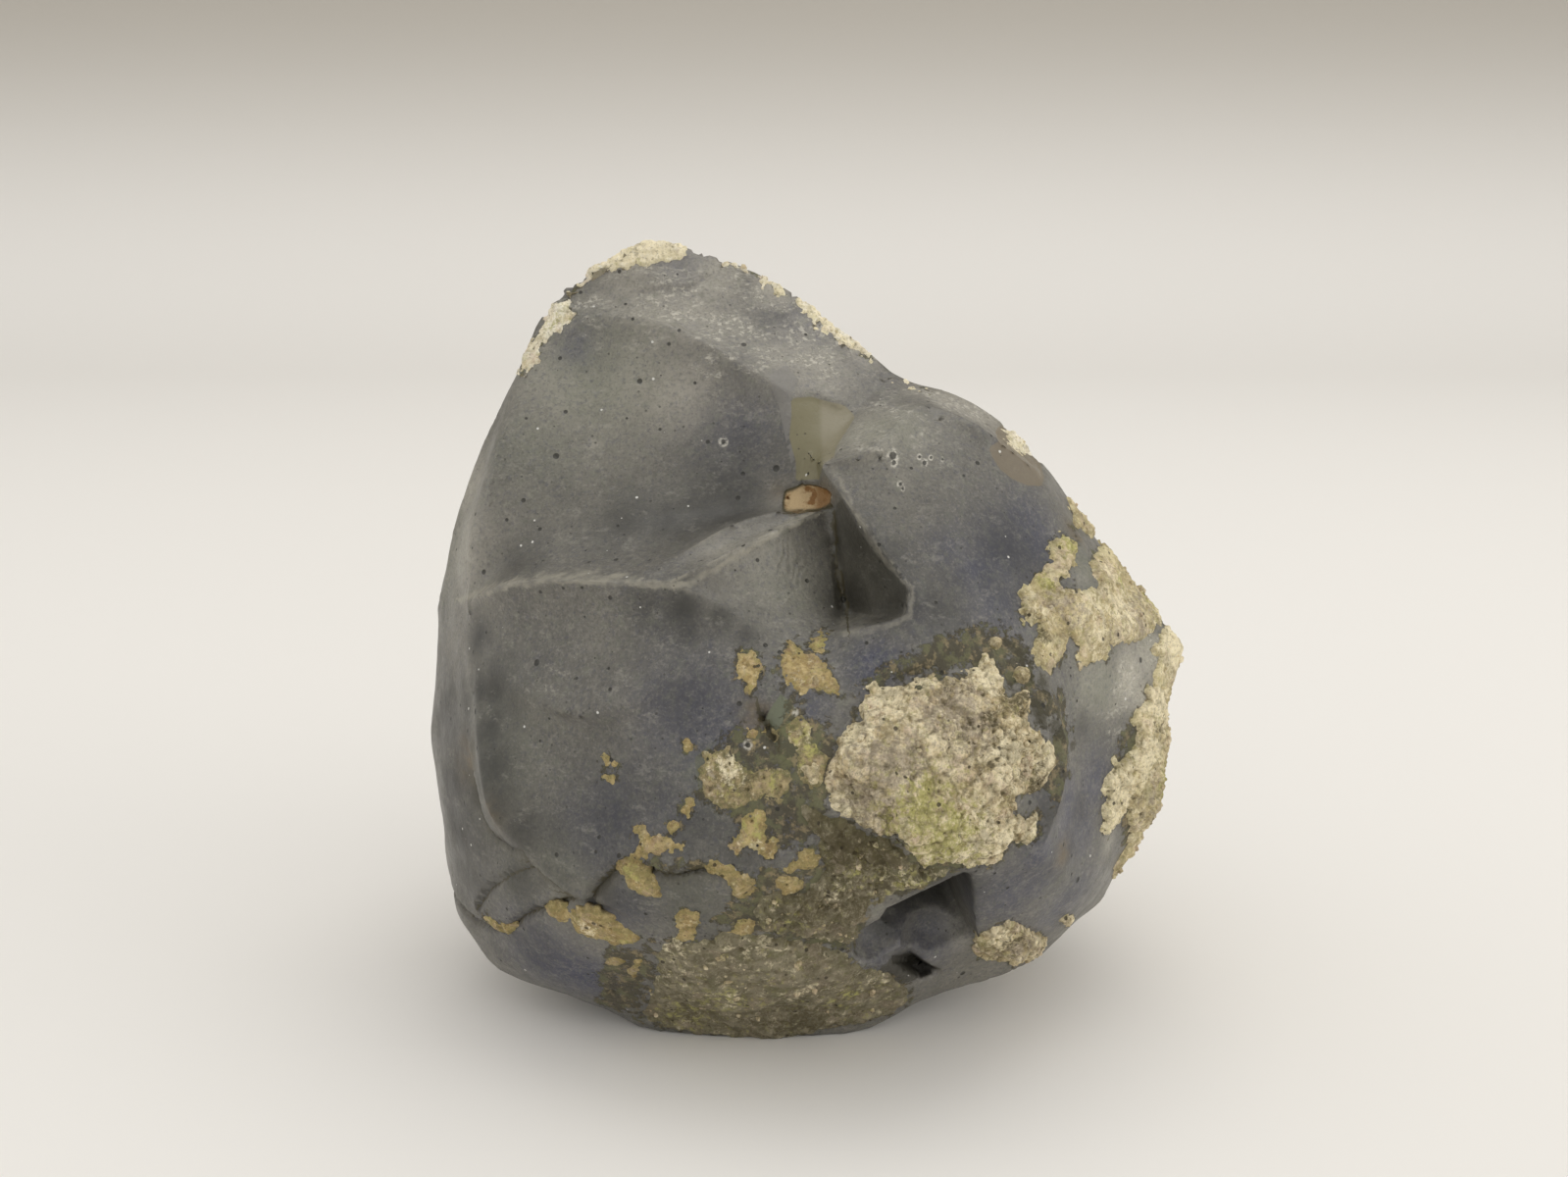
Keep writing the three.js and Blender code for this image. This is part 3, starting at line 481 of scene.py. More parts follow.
crustKinds = {
    "crust_mass": {
        **stony, "fringe": 1.6, "blocks": 1.0, "wander": 0.6, "knobs": 0.5,
        "outlines": [[(2.3, 42.5), (3.3, 45.2), (5.2, 48), (6.3, 48.8), (5.9, 50.1), (6.6, 51.3),
            (8.6, 51.9), (12.9, 52.4), (14.2, 53), (15.6, 53.2), (16.1, 52.3), (18.9, 52.7), (20.5, 53.2),
            (21.1, 54.5), (22.2, 54.4), (23.2, 52.8), (23.8, 50.4), (25.2, 49.9), (26.3, 50.4),
            (27.0, 49.0), (26.3, 47.4), (27.8, 45.8), (29.8, 43.8), (30.2, 41.1), (29, 38.9), (26.9, 38.4),
            (24.7, 39), (24.8, 37.1), (24.5, 33.6), (23.2, 31.2), (21.5, 30), (18.9, 30.9), (16.5, 31.9),
            (13.6, 31.6), (11.9, 34.3), (10.5, 36.8), (8.7, 36.6), (6.9, 37.5), (5.1, 38.9), (3.3, 39.8),
            (2.7, 41.2)]],
        "blobs": [(26.2, 52, 1.1), (24.9, 35.3, 1.1), (26.4, 34, 1.5), (27, 35.1, 1.1), (25.6, 33.3, 1.0),
            (23.5, 55.4, 0.8), (0.8, 43.4, 1.0), (8, 51.6, 0.8)],
        "lumpy": [(23, -36, 45, 8, 1.0), (20, -39, 35, 6, 0.9), (27, -33, 36, 4, 1.0),
            (12, -37, 51, 3, 0.4), (24, -30, 50, 4, 1.0), (3.5, -42, 43, 1.6, 0.5), (16, -37, 48, 3, 0.7)],
        "pale": [(10, -37, 50.5, 3, 1.0), (6, -39, 47, 3, 0.9), (23, -37, 44, 4, 0.8),
            (28, -33, 43.5, 3, 1.0), (26.5, -33, 34.5, 3, 1.0), (20, -40, 36, 4, 0.9),
            (4, -43, 39.5, 3, 0.9), (21.5, -32, 52.5, 3, 0.9), (16, -42, 33, 3, 0.9), (14, -35, 52, 2, 0.6),
            (13, -39, 48, 3, 0.5), (12, -42, 43, 3, 0.5), (20, -39, 33, 4, 1.0), (23, -37, 35, 3, 0.9),
            (9, -41, 38.5, 2.5, 0.8)],
        "grey": [(8, -41, 41, 5, 0.9), (17, -36, 48, 5, 1.0), (10, -41, 44, 5, 0.9), (20, -36, 46, 3, 0.7)],
        "green": [(13, -42, 40, 4.5, 0.85), (15.5, -41, 36, 5, 0.85), (19, -39, 32, 3, 0.5),
            (11, -42, 36, 4, 0.4)],
        "dark": [(25, -33, 49.5, 2, 0.8), (26.5, -34, 39.5, 2.4, 1.0), (24.5, -36, 41.5, 1.2, 0.9),
            (19, -38, 42.5, 1.2, 0.8), (21, -36, 48, 1.4, 0.8), (18, -36, 46, 3, 0.6),
            (22, -37, 41, 2, 0.5), (17, -35, 51, 2, 0.4), (29, -32, 46.5, 1.6, 0.8),
            (23, -37, 37.5, 1.6, 0.6)],
    },
    "dark_crust": {
        **stony, "finish": "dun_crust", "rim": 0.25, "lumps": 0.9, "lumpWave": 2.6, "knobs": 0.7,
        "knobWave": 2.1, "blocks": 0.8,
        "outlines": [[(-0.9, 40.2), (2.8, 38.7), (5.1, 37.6), (7, 36.1), (9.3, 35.9), (10.6, 34.9),
            (12, 33), (13.9, 30.8), (16.2, 30.9), (17.8, 30.4), (14.4, 28.6), (10.4, 26.9), (7.6, 25.6),
            (6.3, 23.4), (6.4, 19.5), (4.6, 19.6), (2.2, 20.8), (-1.2, 22.2), (-3.8, 23), (-5.4, 23.7),
            (-5.8, 26), (-4.9, 28), (-3.5, 28.5), (-1.2, 28.4), (0.8, 29.6), (2.2, 30.7), (2.5, 32.5),
            (1.7, 34.2), (1.9, 35.8), (0.6, 36.9)]],
        "lumpy": [(8, -40, 31, 12, 0.8), (0, -38, 25, 7, 0.8)],
        "pale": [(12, -39, 31, 3, 0.35), (3.5, -41, 28.5, 2, 0.4)],
        "green": [(7, -41, 33, 4, 0.35), (12, -39, 29, 3, 0.4), (-2, -40, 25, 3, 0.3)],
        # most dark spots here are painted shadow under the crust_mass's overhanging lower edge
        "dark": [(5, -41, 36, 5, 1.0), (9, -41, 34, 4, 0.9), (4.1, -43.3, 38.6, 2.2, 1.3),
            (7, -42.9, 37, 2.2, 1.3), (1.9, -43, 40, 1.8, 1.2), (10, -42.5, 35.6, 2.2, 1.3),
            (1, -40, 27, 4, 0.6), (6, -39, 26, 3, 0.7), (1, -43, 38, 3, 0.6)],
    },
    "foot_crust": {
        **stony, "finish": "dun_crust", "levels": 1, "rim": 0.2, "lumps": 0.4, "lumpWave": 4.2,
        "knobs": 0.25, "blocks": 0.3, "grain": 0.2, "holeShare": 0.06, "crumbs": 0.06,
        "outlines": [[(-22.8, 3), (-21.1, 6.3), (-19.3, 9.5), (-18.1, 14.3), (-18.5, 17.4), (-17.3, 19.9),
            (-15.8, 21.1), (-14.4, 20.4), (-11.8, 21), (-9.8, 22.4), (-7.3, 22.4), (-4.7, 21.9), (-2.6, 21),
            (0, 19.9), (2.8, 18.9), (4.8, 17.9), (7.1, 15.3), (9.8, 12.7), (12.3, 9.9), (14, 7.3),
            (13.9, 4.4), (11.4, 2.8), (7.7, 2.2), (3.8, 1.8), (0, 0.3), (-6, -1), (-11.6, 0.2),
            (-16.8, 0.7), (-20.7, 1.5)]],
        "lumpy": [(-12, -38, 21, 5, 0.8), (10, -28, 12, 5, 0.8)],
        "pale": [(-16, -37, 20, 3, 0.5), (-5, -37, 21.5, 4, 0.3), (9, -28, 11, 3, 0.3),
            (-17, -33, 13, 3, 0.3), (-10, -31, 10, 3, 0.25), (0, -31, 11, 3, 0.3), (-6, -28, 5, 3, 0.2)],
        "green": [(-10, -30, 9, 5, 0.3), (5, -28, 7, 4, 0.4), (-16, -24, 4, 4, 0.4)],
        "dark": [(-16, -26, 3, 5, 0.5), (0, -24, 2, 8, 0.5), (6, -33, 13, 1.2, 0.9), (2, -30, 10, 4, 0.3)],
    },
    "streak_crust": {
        **thin, "wanderWave": 1.6, "wander": 0.6, "rim": 0.14,
        "outlines": [[(-25.3, 14.3), (-23.6, 15.3), (-22.7, 14.6), (-23.6, 13.3), (-25, 13.3)],
            [(-22.4, 12), (-21.1, 15.4), (-20.1, 16.3), (-20.4, 14.7), (-21.8, 11.3)],
            [(-26.8, 7.4), (-24.8, 9.3), (-22.8, 8.9), (-23.8, 7), (-26.1, 5.4)],
            [(-25.3, 3.9), (-22.3, 6), (-20.2, 9.1), (-19.3, 8.9), (-21.3, 5.4), (-23.3, 3.1)]],
        "grey": [(-23, -27, 9, 9, 0.4)], "dark": [(-24, -25, 7, 5, 0.4)],
    },
    "slope_crust": {
        **bleached,
        "outlines": [[(33.1, 65.3), (30.7, 64.3), (31.1, 63), (28.6, 61.6), (26.4, 60.3), (26.8, 59.3),
            (26, 58.5), (26.2, 57.6), (28.9, 56.5), (28.9, 55.5), (27.4, 53.9), (27.9, 52.4), (29, 51.4),
            (31.8, 51.1), (33, 52.7), (32.9, 54.5), (34.3, 53.1), (33.4, 52.1), (33.5, 51.1), (34.8, 50.3),
            (37, 50.7), (38.4, 49.7), (39.4, 50.5), (38.8, 52.3), (42.2, 51.1), (44.4, 50.8), (47.6, 51.1),
            (54, 50), (55, 56), (46, 62.5), (43, 62.5), (40.8, 61.1), (38.2, 61.9), (36.8, 61.6),
            (36.9, 60.7), (37.9, 59.2), (36, 59), (32.3, 60.1), (32, 60.7), (33.6, 61.7), (35.5, 62.6),
            (35.6, 64), (35.3, 64.4)],
            [(35.2, 67.5), (36, 66.3), (35, 65.7), (35.7, 64.8), (37.3, 64.6), (38.9, 63.3), (43, 63.6),
            (41, 67), (38, 69)]],
        "blobs": [(31, 62.2, 0.7)],
        "patches": [((38, 0.5, 65.5), (4, 4.6, 3.4))],
        "lumpy": [(38, -14, 55, 7, 0.6), (30, -22, 57, 6, 1.0)],
        "pale": [(36, -17, 57.5, 4, 0.6), (42, -12, 56, 5, 0.7), (36, -18, 53, 3, 0.6),
            (49, -4, 48, 5, 1.0), (29, -24, 58.5, 3, 0.6), (40, -10, 60, 2, 0.6)],
        "grey": [(32, -20, 58, 4, 0.5), (39, -16, 54, 3, 0.4), (44, -9, 52.5, 4, 0.7),
            (46, -5, 55, 4, 0.5)],
        "green": [(33.5, -12, 64, 2.6, 0.7), (30, -20, 60.6, 1.6, 0.8), (42, -8, 58.5, 2, 0.6),
            (34, -19, 54.5, 1.2, 0.6), (48, -2, 54, 3, 0.4)],
        "dark": [(29, -24, 55.6, 1.4, 0.9), (34, -10, 65, 2, 0.5), (39, -14, 58.6, 1.2, 0.5),
            (31, -22, 52.4, 1, 0.5)],
    },
    "flank_crust": {
        **bleached,
        "outlines": [[(46.4, 49), (47.6, 50), (50, 51.5), (55, 50), (55, 45), (49.5, 42.5), (47.2, 43.2),
            (45.6, 44.6), (46.4, 46), (47.2, 47.1)]],
        "patches": [((46.5, 2.5, 56.5), (4.5, 4, 4.4)), ((50.5, 1, 48), (3.6, 6, 3.4))],
        "pale": [(49, -4, 48, 5, 1.0), (46, 0, 57, 4, 0.6)],
        "grey": [(46, -5, 55, 4, 0.5)], "green": [(48, -2, 54, 3, 0.4)],
    },
    "edge_crust": {
        **stony, "finish": "bleached_crust", "lumps": 0.4, "fringe": 0.8, "blocks": 0.6,
        "outlines": [[(48.2, 43.6), (46, 44.9), (44.6, 44.4), (44.9, 42.8), (43.1, 42.6), (42.5, 41.3),
            (43.7, 38.4), (42.4, 37.4), (41.2, 36.3), (40.2, 37.7), (39.5, 36.9), (40, 35.5), (38.9, 34.8),
            (38.5, 33.4), (39, 31.9), (38.1, 30.9), (38.7, 29.3), (38.1, 28.3), (39.6, 26.4), (41.3, 27.7),
            (42.3, 29), (43.2, 25), (43.3, 21.9), (44, 17), (50, 20), (55, 30), (55, 44)]],
        "patches": [((48.2, -2, 40), (3.5, 7, 4.6)), ((46.5, -4, 30), (3.5, 7, 7)),
            ((43, -8, 20), (2.6, 5, 3))],
        "lumpy": [(40, -17, 34, 6, 1.0), (46, -10, 32, 9, 1.0)],
        "pale": [(40, -17, 33, 5, 1.0), (43.5, -13, 36, 4, 1.0), (39.5, -18, 29, 4, 1.0),
            (46, -10, 42, 4, 1.0), (44, -12, 25, 3, 0.5), (48, -6, 44, 3, 0.9)],
        "grey": [(45, -11, 30, 4, 0.5)], "green": [(47, -8, 31, 3, 0.7)],
        "dark": [(45, -11, 38.6, 2, 1.0), (44.5, -12, 33.5, 1.5, 0.8), (46.5, -9, 40.5, 1.6, 0.7),
            (42.5, -14, 30, 1.2, 0.8), (45.5, -10, 27.5, 2, 0.5)],
    },
    "crest_crust": {
        **stony, "finish": "chalky_crust", "wander": 0.7, "wanderWave": 1.4, "scallop": 0.5, "rim": 0.16,
        "lumps": 0.2, "knobs": 0.15, "knobWave": 1.6, "taper": 0.5, "blocks": 0.2, "crumbs": 0.1,
        "holeShare": 0.1, "holes": 0.4, "fringe": 0.4, "deepest": 15.0,
        "outlines": [[(-33.5, 99), (-28, 104), (-19, 105), (-15, 101.5), (-16.5, 99.8), (-18.5, 99),
            (-21.1, 98.3), (-23.8, 98.1), (-26.6, 97.6), (-29.3, 96.4), (-31.2, 95.4), (-32.4, 96.2)],
            [(-11, 98.6), (-8.4, 98), (-3.9, 94.9), (-2.2, 93.8), (-2, 98), (-8, 102)],
            [(-1.4, 93.7), (1.4, 90.9), (4.0, 88.9), (6.6, 87.3), (9.2, 85.7), (10, 88), (4, 93), (0, 96)]],
        "patches": [((-33.4, 6, 91.7), (2.6, 4, 2.4)), ((-37.2, 4, 87), (1.7, 3.4, 3.2)),
            ((-35.2, 5, 89.6), (1.0, 2, 1.0)), ((29, 2, 75.5), (3, 4.5, 1.2)),
            ((15.7, 2, 82.4), (2.4, 2, 0.6)), ((19, 5, 83), (7, 4, 0.8))],
        "pale": [(-22, 9, 100, 10, 1.0), (20, 1, 81, 12, 0.9), (0, 9, 93, 10, 0.8)],
        "green": [(-33, 5, 91, 2, 0.3)],
        "dark": [(-23, 8, 101.5, 1.6, 0.4), (-28, 7, 98, 1, 0.4)],
    },
    "belly_scabs": {
        **thin,
        "outlines": [[(-8.2, 55.3), (-7.2, 55.6), (-6.1, 55.4), (-5.3, 54.6), (-5, 53.6), (-5.5, 52.4),
            (-6, 51.4), (-6.6, 50.6), (-7.2, 50.9), (-7.4, 51.8), (-8, 52.5), (-8.4, 53.7)],
            [(-2.9, 54.9), (-1.9, 56), (-0.1, 55), (1.5, 54.5), (3, 53.5), (3.8, 52.3), (4, 51.2),
            (2.9, 51.1), (1.8, 51.3), (0.6, 51.1), (-0.4, 50.5), (-1.3, 51.2), (-2.4, 51.5), (-3.1, 52.8),
            (-3.3, 53.8)],
            [(0.3, 55.4), (1.2, 56.2), (1.9, 56.6), (2.9, 56.3), (2.5, 55.3), (2.1, 54.5), (0.9, 54.8)],
            [(-20.9, 34.5), (-20, 35.3), (-18.9, 35.4), (-18.5, 34.7), (-17.3, 35), (-16.3, 34.7),
            (-14.4, 34.1), (-14.6, 33.5), (-15.9, 33), (-17.6, 32.7), (-20.9, 31.8), (-20.6, 32.4),
            (-19.5, 33.2), (-19.4, 34.1)],
            [(-8.9, 34), (-8.6, 35.5), (-7.6, 36.1), (-8.1, 37), (-7.4, 37.9), (-5.8, 39.4), (-4.9, 39.2),
            (-4.5, 37.9), (-4.7, 36.6), (-4.3, 35.7), (-3.5, 35.7), (-3.3, 34.4), (-4, 33.2), (-5.1, 33.2),
            (-6.2, 34.1), (-7.4, 34), (-8.3, 33.6)],
            [(-1.2, 33.7), (-0.3, 34.6), (0.8, 34.4), (1.5, 33.4), (1.2, 32.3), (-0.5, 32), (-1.7, 31.4),
            (-2.6, 31.7), (-1.2, 32.7)],
            [(-11.5, 32.7), (-10.4, 32.9), (-8.9, 32.4), (-7.4, 31.4), (-6.2, 30.8), (-5.9, 30.1),
            (-7.1, 30.3), (-8.3, 30.8), (-9.2, 31.5), (-10.6, 32)],
            [(-3.7, 30.3), (-2.6, 30.9), (-1.2, 30.7), (-0.3, 30.1), (-0.5, 29.3), (-1.7, 28.6),
            (-2.6, 28.5), (-3.3, 29.5)],
            [(-22.1, 30.5), (-21.1, 31), (-20.1, 30.7), (-19.3, 29.8), (-18.5, 29.1), (-17.7, 27.2),
            (-18.8, 27.2), (-20, 27.9), (-21.1, 28.3), (-20.9, 29.5)],
            [(-29, 20.3), (-27.8, 21.8), (-26.4, 22.6), (-25, 22.4), (-22.6, 21.1), (-20.2, 20),
            (-21.2, 18.8), (-23.4, 17.8), (-25, 18.5), (-26.5, 18.5), (-28.1, 18.9)],
            [(-15.4, 24.8), (-14.2, 25.8), (-12.8, 25.3), (-12.5, 23.9), (-13.3, 22.4), (-13.1, 20.9),
            (-15.8, 20.9), (-15.3, 22.1)],
            [(-8.7, 30.7), (-7.7, 30.1), (-6.9, 28.9), (-7.5, 28.1), (-8.4, 28.5)],
            [(-9, 22.5), (-8.4, 24), (-7, 25), (-6.2, 24.1), (-6.6, 22.3), (-7.7, 21.8)]],
        "blobs": [(-6.4, 46.9, 0.65), (-6, 45.9, 0.4), (-15.7, 35.8, 0.7), (-15, 36.2, 0.4),
            (-13.8, 38.7, 0.8), (-14.1, 37.7, 0.6), (-13.9, 44.8, 0.6), (-24, 42.1, 0.5), (-23, 41.8, 0.4),
            (-24.3, 40, 0.3), (-23.3, 40.1, 0.35), (-41.3, 15.6, 0.8), (-40, 15.2, 0.8), (-38.8, 15.4, 0.5),
            (-31.2, 21.1, 0.6), (-30.3, 20.8, 0.5)],
        "pale": [(-27, -33, 20, 2, 0.5), (-6, -41, 34, 2, 0.4)],
        "green": [(1.6, -29, 56, 1.6, 0.6), (-41, -20, 15.6, 1.6, 0.5), (-21, -39, 30, 2, 0.6),
            (-6, -41, 37, 2, 0.5), (-22, -33, 19, 2, 0.5)],
        "dark": [(-39, -21, 15.5, 1.5, 0.5)],
    },
    "lichen_crust": {
        **thin, "finish": "lichen_crust", "rim": 0.08, "fringe": 1.0, "blocks": 0.15, "blockWave": 1.7,
        "outlines": [[(-12, 44.2), (-10.6, 44.9), (-8.9, 45.3), (-7.5, 44), (-5.4, 43.6), (-2.2, 43.7),
            (-1.5, 42.7), (-2, 41.3), (-3, 39.6), (-5, 40.2), (-7.4, 38.8), (-8.9, 38.3), (-11, 38.5),
            (-12, 39.4), (-12.6, 41.5)],
            [(-3.4, 48), (-1.2, 49.6), (0.4, 48.4), (0.8, 46.2), (2.6, 44.8), (1.6, 41.8), (-0.4, 42.2),
            (-1.4, 44.6), (-2.4, 45.6)]],
        "pale": [(-9.5, -39, 43.6, 2.6, 0.7), (-0.5, -38, 47, 1.2, 0.4), (1, -42, 43, 1.2, 0.5)],
        "grey": [(-12, -39, 42, 2.4, 0.5)],
        "green": [(-4.2, -41, 42, 2.2, 0.3), (-9.5, -40, 40.5, 2.4, 0.3), (0, -38, 46, 3, 0.5)],
        "dark": [(-6.5, -40, 42.5, 1.4, 0.6), (-11.4, -39, 41, 1, 0.5), (-5, -41, 40.2, 1.6, 0.4)],
    },
    "heel_crust": {
        **stony, "wander": 0.4, "rim": 0.25, "lumps": 0.2, "knobs": 0.9, "knobWave": 1.9, "taper": 0.6,
        "holeShare": 0.06, "fringe": 0.8,
        "outlines": [[(22.5, 11.2), (21.5, 13.8), (21.5, 16.1), (22.1, 18.6), (24.4, 19.5), (25.5, 19.9),
            (27, 18.8), (28.7, 16.8), (30.4, 15.4), (32.3, 12.4), (32, 9.4), (30.4, 8), (28.3, 7.4),
            (26, 9.1), (24.2, 10.5)],
            [(33, 16.4), (34.1, 17), (35.5, 16), (36.4, 13.6), (35, 13.4)]],
        "lumpy": [(26, -25, 15, 9, 1.0)],
        "pale": [(24.5, -28, 18, 2, 0.9), (34, -21, 16, 3, 0.6), (22.5, -28, 14, 1.6, 0.8),
            (28, -23, 12, 2, 0.6)],
        "grey": [(27, -25, 15, 3, 0.7)], "green": [(25, -25, 11, 2.5, 0.5)],
        "dark": [(26, -26, 16.5, 1.6, 0.7), (30, -22, 13, 2, 0.5)],
    },
    "back_crust": {
        **stony, "levels": 1, "wander": 2.0, "wanderWave": 6.5, "lumps": 0.7,
        "patches": [((31, 28, 38), (11, 11, 10)), ((8, 40, 27), (13, 8, 8)), ((-44, 18, 30), (6, 9, 9)),
            ((42, 14, 24), (6, 10, 8)), ((20, 34, 50), (7, 7, 5)), ((-5, 36, 14), (9, 8, 5))],
        "lumpy": [(31, 28, 38, 14, 0.7), (8, 40, 27, 9, 0.7)],
        "pale": [(30, 29, 40, 9, 0.8), (8, 41, 28, 8, 0.5)],
        "grey": [(14, 38, 34, 10, 0.5)], "green": [(10, 40, 24, 8, 0.5)],
        "dark": [(-44, 18, 28, 7, 0.4), (42, 15, 22, 8, 0.4)],
    },
}
sheet = {  # how every crust is cut from the lump and raised
    "backReach": 12,  # its outlines count this much farther back than its deepest
    "raggedWave": 11.0,
    "ragged": 9,  # how unevenly it ends there
    "nearBorder": 6,  # the finer wanderings start this near the border
    "frayWave": 0.7,
    "fray": 0.22,
    "skirt": 1.4,  # how far a sheet runs on under the glass
    "root": 1.2,  # how deep its underside lies
    "speckFaces": 12,  # smaller patches fall away
    "smooth": 0.25,  # how lumpy it stays away from its lumpy places
    "smallBlocks": 0.45,  # size of the smaller blocks, to the larger
    "blockHeights": (0.5, 0.4),  # of the larger and the smaller
    "blockRounding": (0.2, 0.3),
    "blockTones": (0.6, 0.4),
    "seamWidths": (0.16, 0.1),
    "holeEdge": (0.12, 0.34),
    "lowest": -0.3,
    "skirtDrop": 0.9,
    "skirtStart": 0.05,
    "hollowRounds": 8,  # how wide a dip may be and still get painted shade
    "hollowGain": 2.2,
    "crumbWave": 2.6,  # crumbs stand in patches this wide
    "crumbsFrom": (0.6, 1.4),  # and at least this high, so that none is under the foot
    "topFloor": 0.01,  # both faces stay off the floor
    "underFloor": 0.02,
}
tints = ("pale", "grey", "green", "dark")


def crustGap(points, kind):
    reach = kind["deepest"] + sheet["backReach"]
    gap = blobGap(points, kind["blobs"], reach)
    for outline in kind["outlines"]:
        gap = np.minimum(gap, outlineGap(points, outline, reach))
    wide = gap < sheet["nearBorder"]
    ragged = sheet["ragged"] * cloud(points[wide], sheet["raggedWave"], 4, 5.1)
    gap[wide] = np.maximum(gap[wide], points[wide, 1] - kind["deepest"] + ragged)
    gap = np.minimum(patchGap(points, kind["patches"]), gap)
    close = gap < sheet["nearBorder"]
    scallops = cells(points[close], kind["scallopWave"], 13.1)[0] - 0.5
    gap[close] += cloud(points[close], kind["wanderWave"], 4, 7.3) * kind["wander"]
    gap[close] += scallops * kind["scallop"]
    gap[close] += cloud(points[close], sheet["frayWave"], 3, 2.9) * sheet["fray"]
    return gap


def withoutSpecks(quads, size):
    label = np.arange(size)
    before = None
    while before is None or (label != before).any():
        before = label.copy()
        lowest = label[quads].min(axis=1)
        for corner in range(4):
            np.minimum.at(label, quads[:, corner], lowest)
        label = label[label]
    patch = label[quads[:, 0]]
    return quads[np.bincount(patch, minlength=size)[patch] >= sheet["speckFaces"]]


def cutSheet(points, quads, gap):  # the lump's faces under one crust
    kept = withoutSpecks(quads[(gap[quads] < sheet["skirt"]).all(axis=1)], len(points))
    used, renumbered = np.unique(kept, return_inverse=True)
    return points[used], renumbered.reshape(-1, 4)


def divided(points, quads, levels):
    draft = writeMesh("draft", points, quads)
    modifier = draft.modifiers.new("finer", "SUBSURF")
    modifier.levels = modifier.render_levels = levels
    mesh = evaluated(draft)
    bpy.data.objects.remove(draft)
    return readQuads(mesh)


def crustRelief(points, gap, kind):  # its height, each block's own chance, and how near the seams are
    height = kind["rim"] + kind["lumps"] * (0.3 + cloud(points, kind["lumpWave"], 4, 2.1))
    lumpy = sheet["smooth"] + (1 - sheet["smooth"]) * spots(points, kind["lumpy"])
    height += kind["knobs"] * lumpy * domes(points, kind["knobWave"], 4.4)
    large, seam = blocks(points, kind["blockWave"], 6.2)
    small, smallSeam = blocks(points, kind["blockWave"] * sheet["smallBlocks"], 3.7)
    (largeHeight, smallHeight), (largeRound, smallRound) = sheet["blockHeights"], sheet["blockRounding"]
    broken = largeHeight * large * ease(0, largeRound, seam)
    broken += smallHeight * small * ease(0, smallRound, smallSeam)
    height += kind["blocks"] * lumpy * broken
    height += kind["grain"] * cloud(points, kind["grainWave"], 3, 9.1)
    near, _, chance = cells(points, kind["holeWave"], 11.7)
    height -= kind["holes"] * (1 - ease(*sheet["holeEdge"], near)) * (chance < kind["holeShare"] * 2 - 1)
    height = np.maximum(height, sheet["lowest"]) * ease(0, kind["taper"], -gap)
    height = np.where(gap > 0, -sheet["skirtDrop"] * gap / sheet["skirt"] - sheet["skirtStart"], height)
    seam = np.minimum(seam / sheet["seamWidths"][0], smallSeam / sheet["seamWidths"][1] + 1 - lumpy)
    return height, sheet["blockTones"][0] * large + sheet["blockTones"][1] * small, seam


def closedSheet(name, top, under, quads):
    sides = sidesOf(quads)
    _, first, count = np.unique(np.sort(sides, axis=1), axis=0, return_index=True, return_counts=True)
    rim = sides[first[count == 1]]
    size = len(top)
    walls = np.column_stack([rim[:, 1], rim[:, 0], rim[:, 0] + size, rim[:, 1] + size])
    return writeMesh(name, np.vstack([top, under]), np.vstack([quads, quads[:, ::-1] + size, walls]))


def crustPiece(name, kind, baseGap):
    points, quads = cutSheet(basePoints, baseQuads, baseGap)
    points, quads = divided(points, quads, kind["levels"])
    normals = normalsOf(points, quads)
    gap = crustGap(points, kind)
    height, tone, seam = crustRelief(points, gap, kind)
    top = points + normals * height[:, None]
    under = points - normals * sheet["root"]
    top[:, 2] = np.maximum(top[:, 2], sheet["topFloor"])
    under[:, 2] = np.maximum(under[:, 2], sheet["underFloor"])
    piece = closedSheet(name, top, under, quads)
    hollows = height - spread(height, edgesOf(quads), sheet["hollowRounds"])
    patchy = ease(-0.25, 0.35, cloud(points, sheet["crumbWave"], 3, 8.2))
    fields = {tint: spots(points, kind[tint]) for tint in tints}
    # relief: where the crust dips, for painted shade
    fields["relief"] = np.clip(0.5 + hollows * sheet["hollowGain"], 0, 1)
    fields["tone"] = np.clip(0.5 + tone * 0.5, 0, 1)
    fields["seam"] = np.clip(1 - seam, 0, 1)
    fields["border"] = ease(1.0, 0.1, -gap)
    fields["cover"] = ease(0.1, 0.8, -gap) * patchy * kind["crumbs"]
    fields["cover"] *= ease(*sheet["crumbsFrom"], points[:, 2])
    storeFields(piece, {key: np.concatenate([values, values * 0]) for key, values in fields.items()})
    return piece


crustPieces = []
sunk = np.zeros(len(basePoints))
fringe = np.zeros(len(basePoints))
for crustName, crustKind in crustKinds.items():
    reach = crustGap(basePoints, crustKind)
    crustPieces.append(crustPiece(crustName, crustKind, reach))
    sunk = np.maximum(sunk, ease(0.5, 1.4, -reach))
    fringe = np.maximum(fringe, ease(crustKind["fringe"], 0, reach))
    print(crustName, len(crustPieces[-1].data.polygons), "faces")


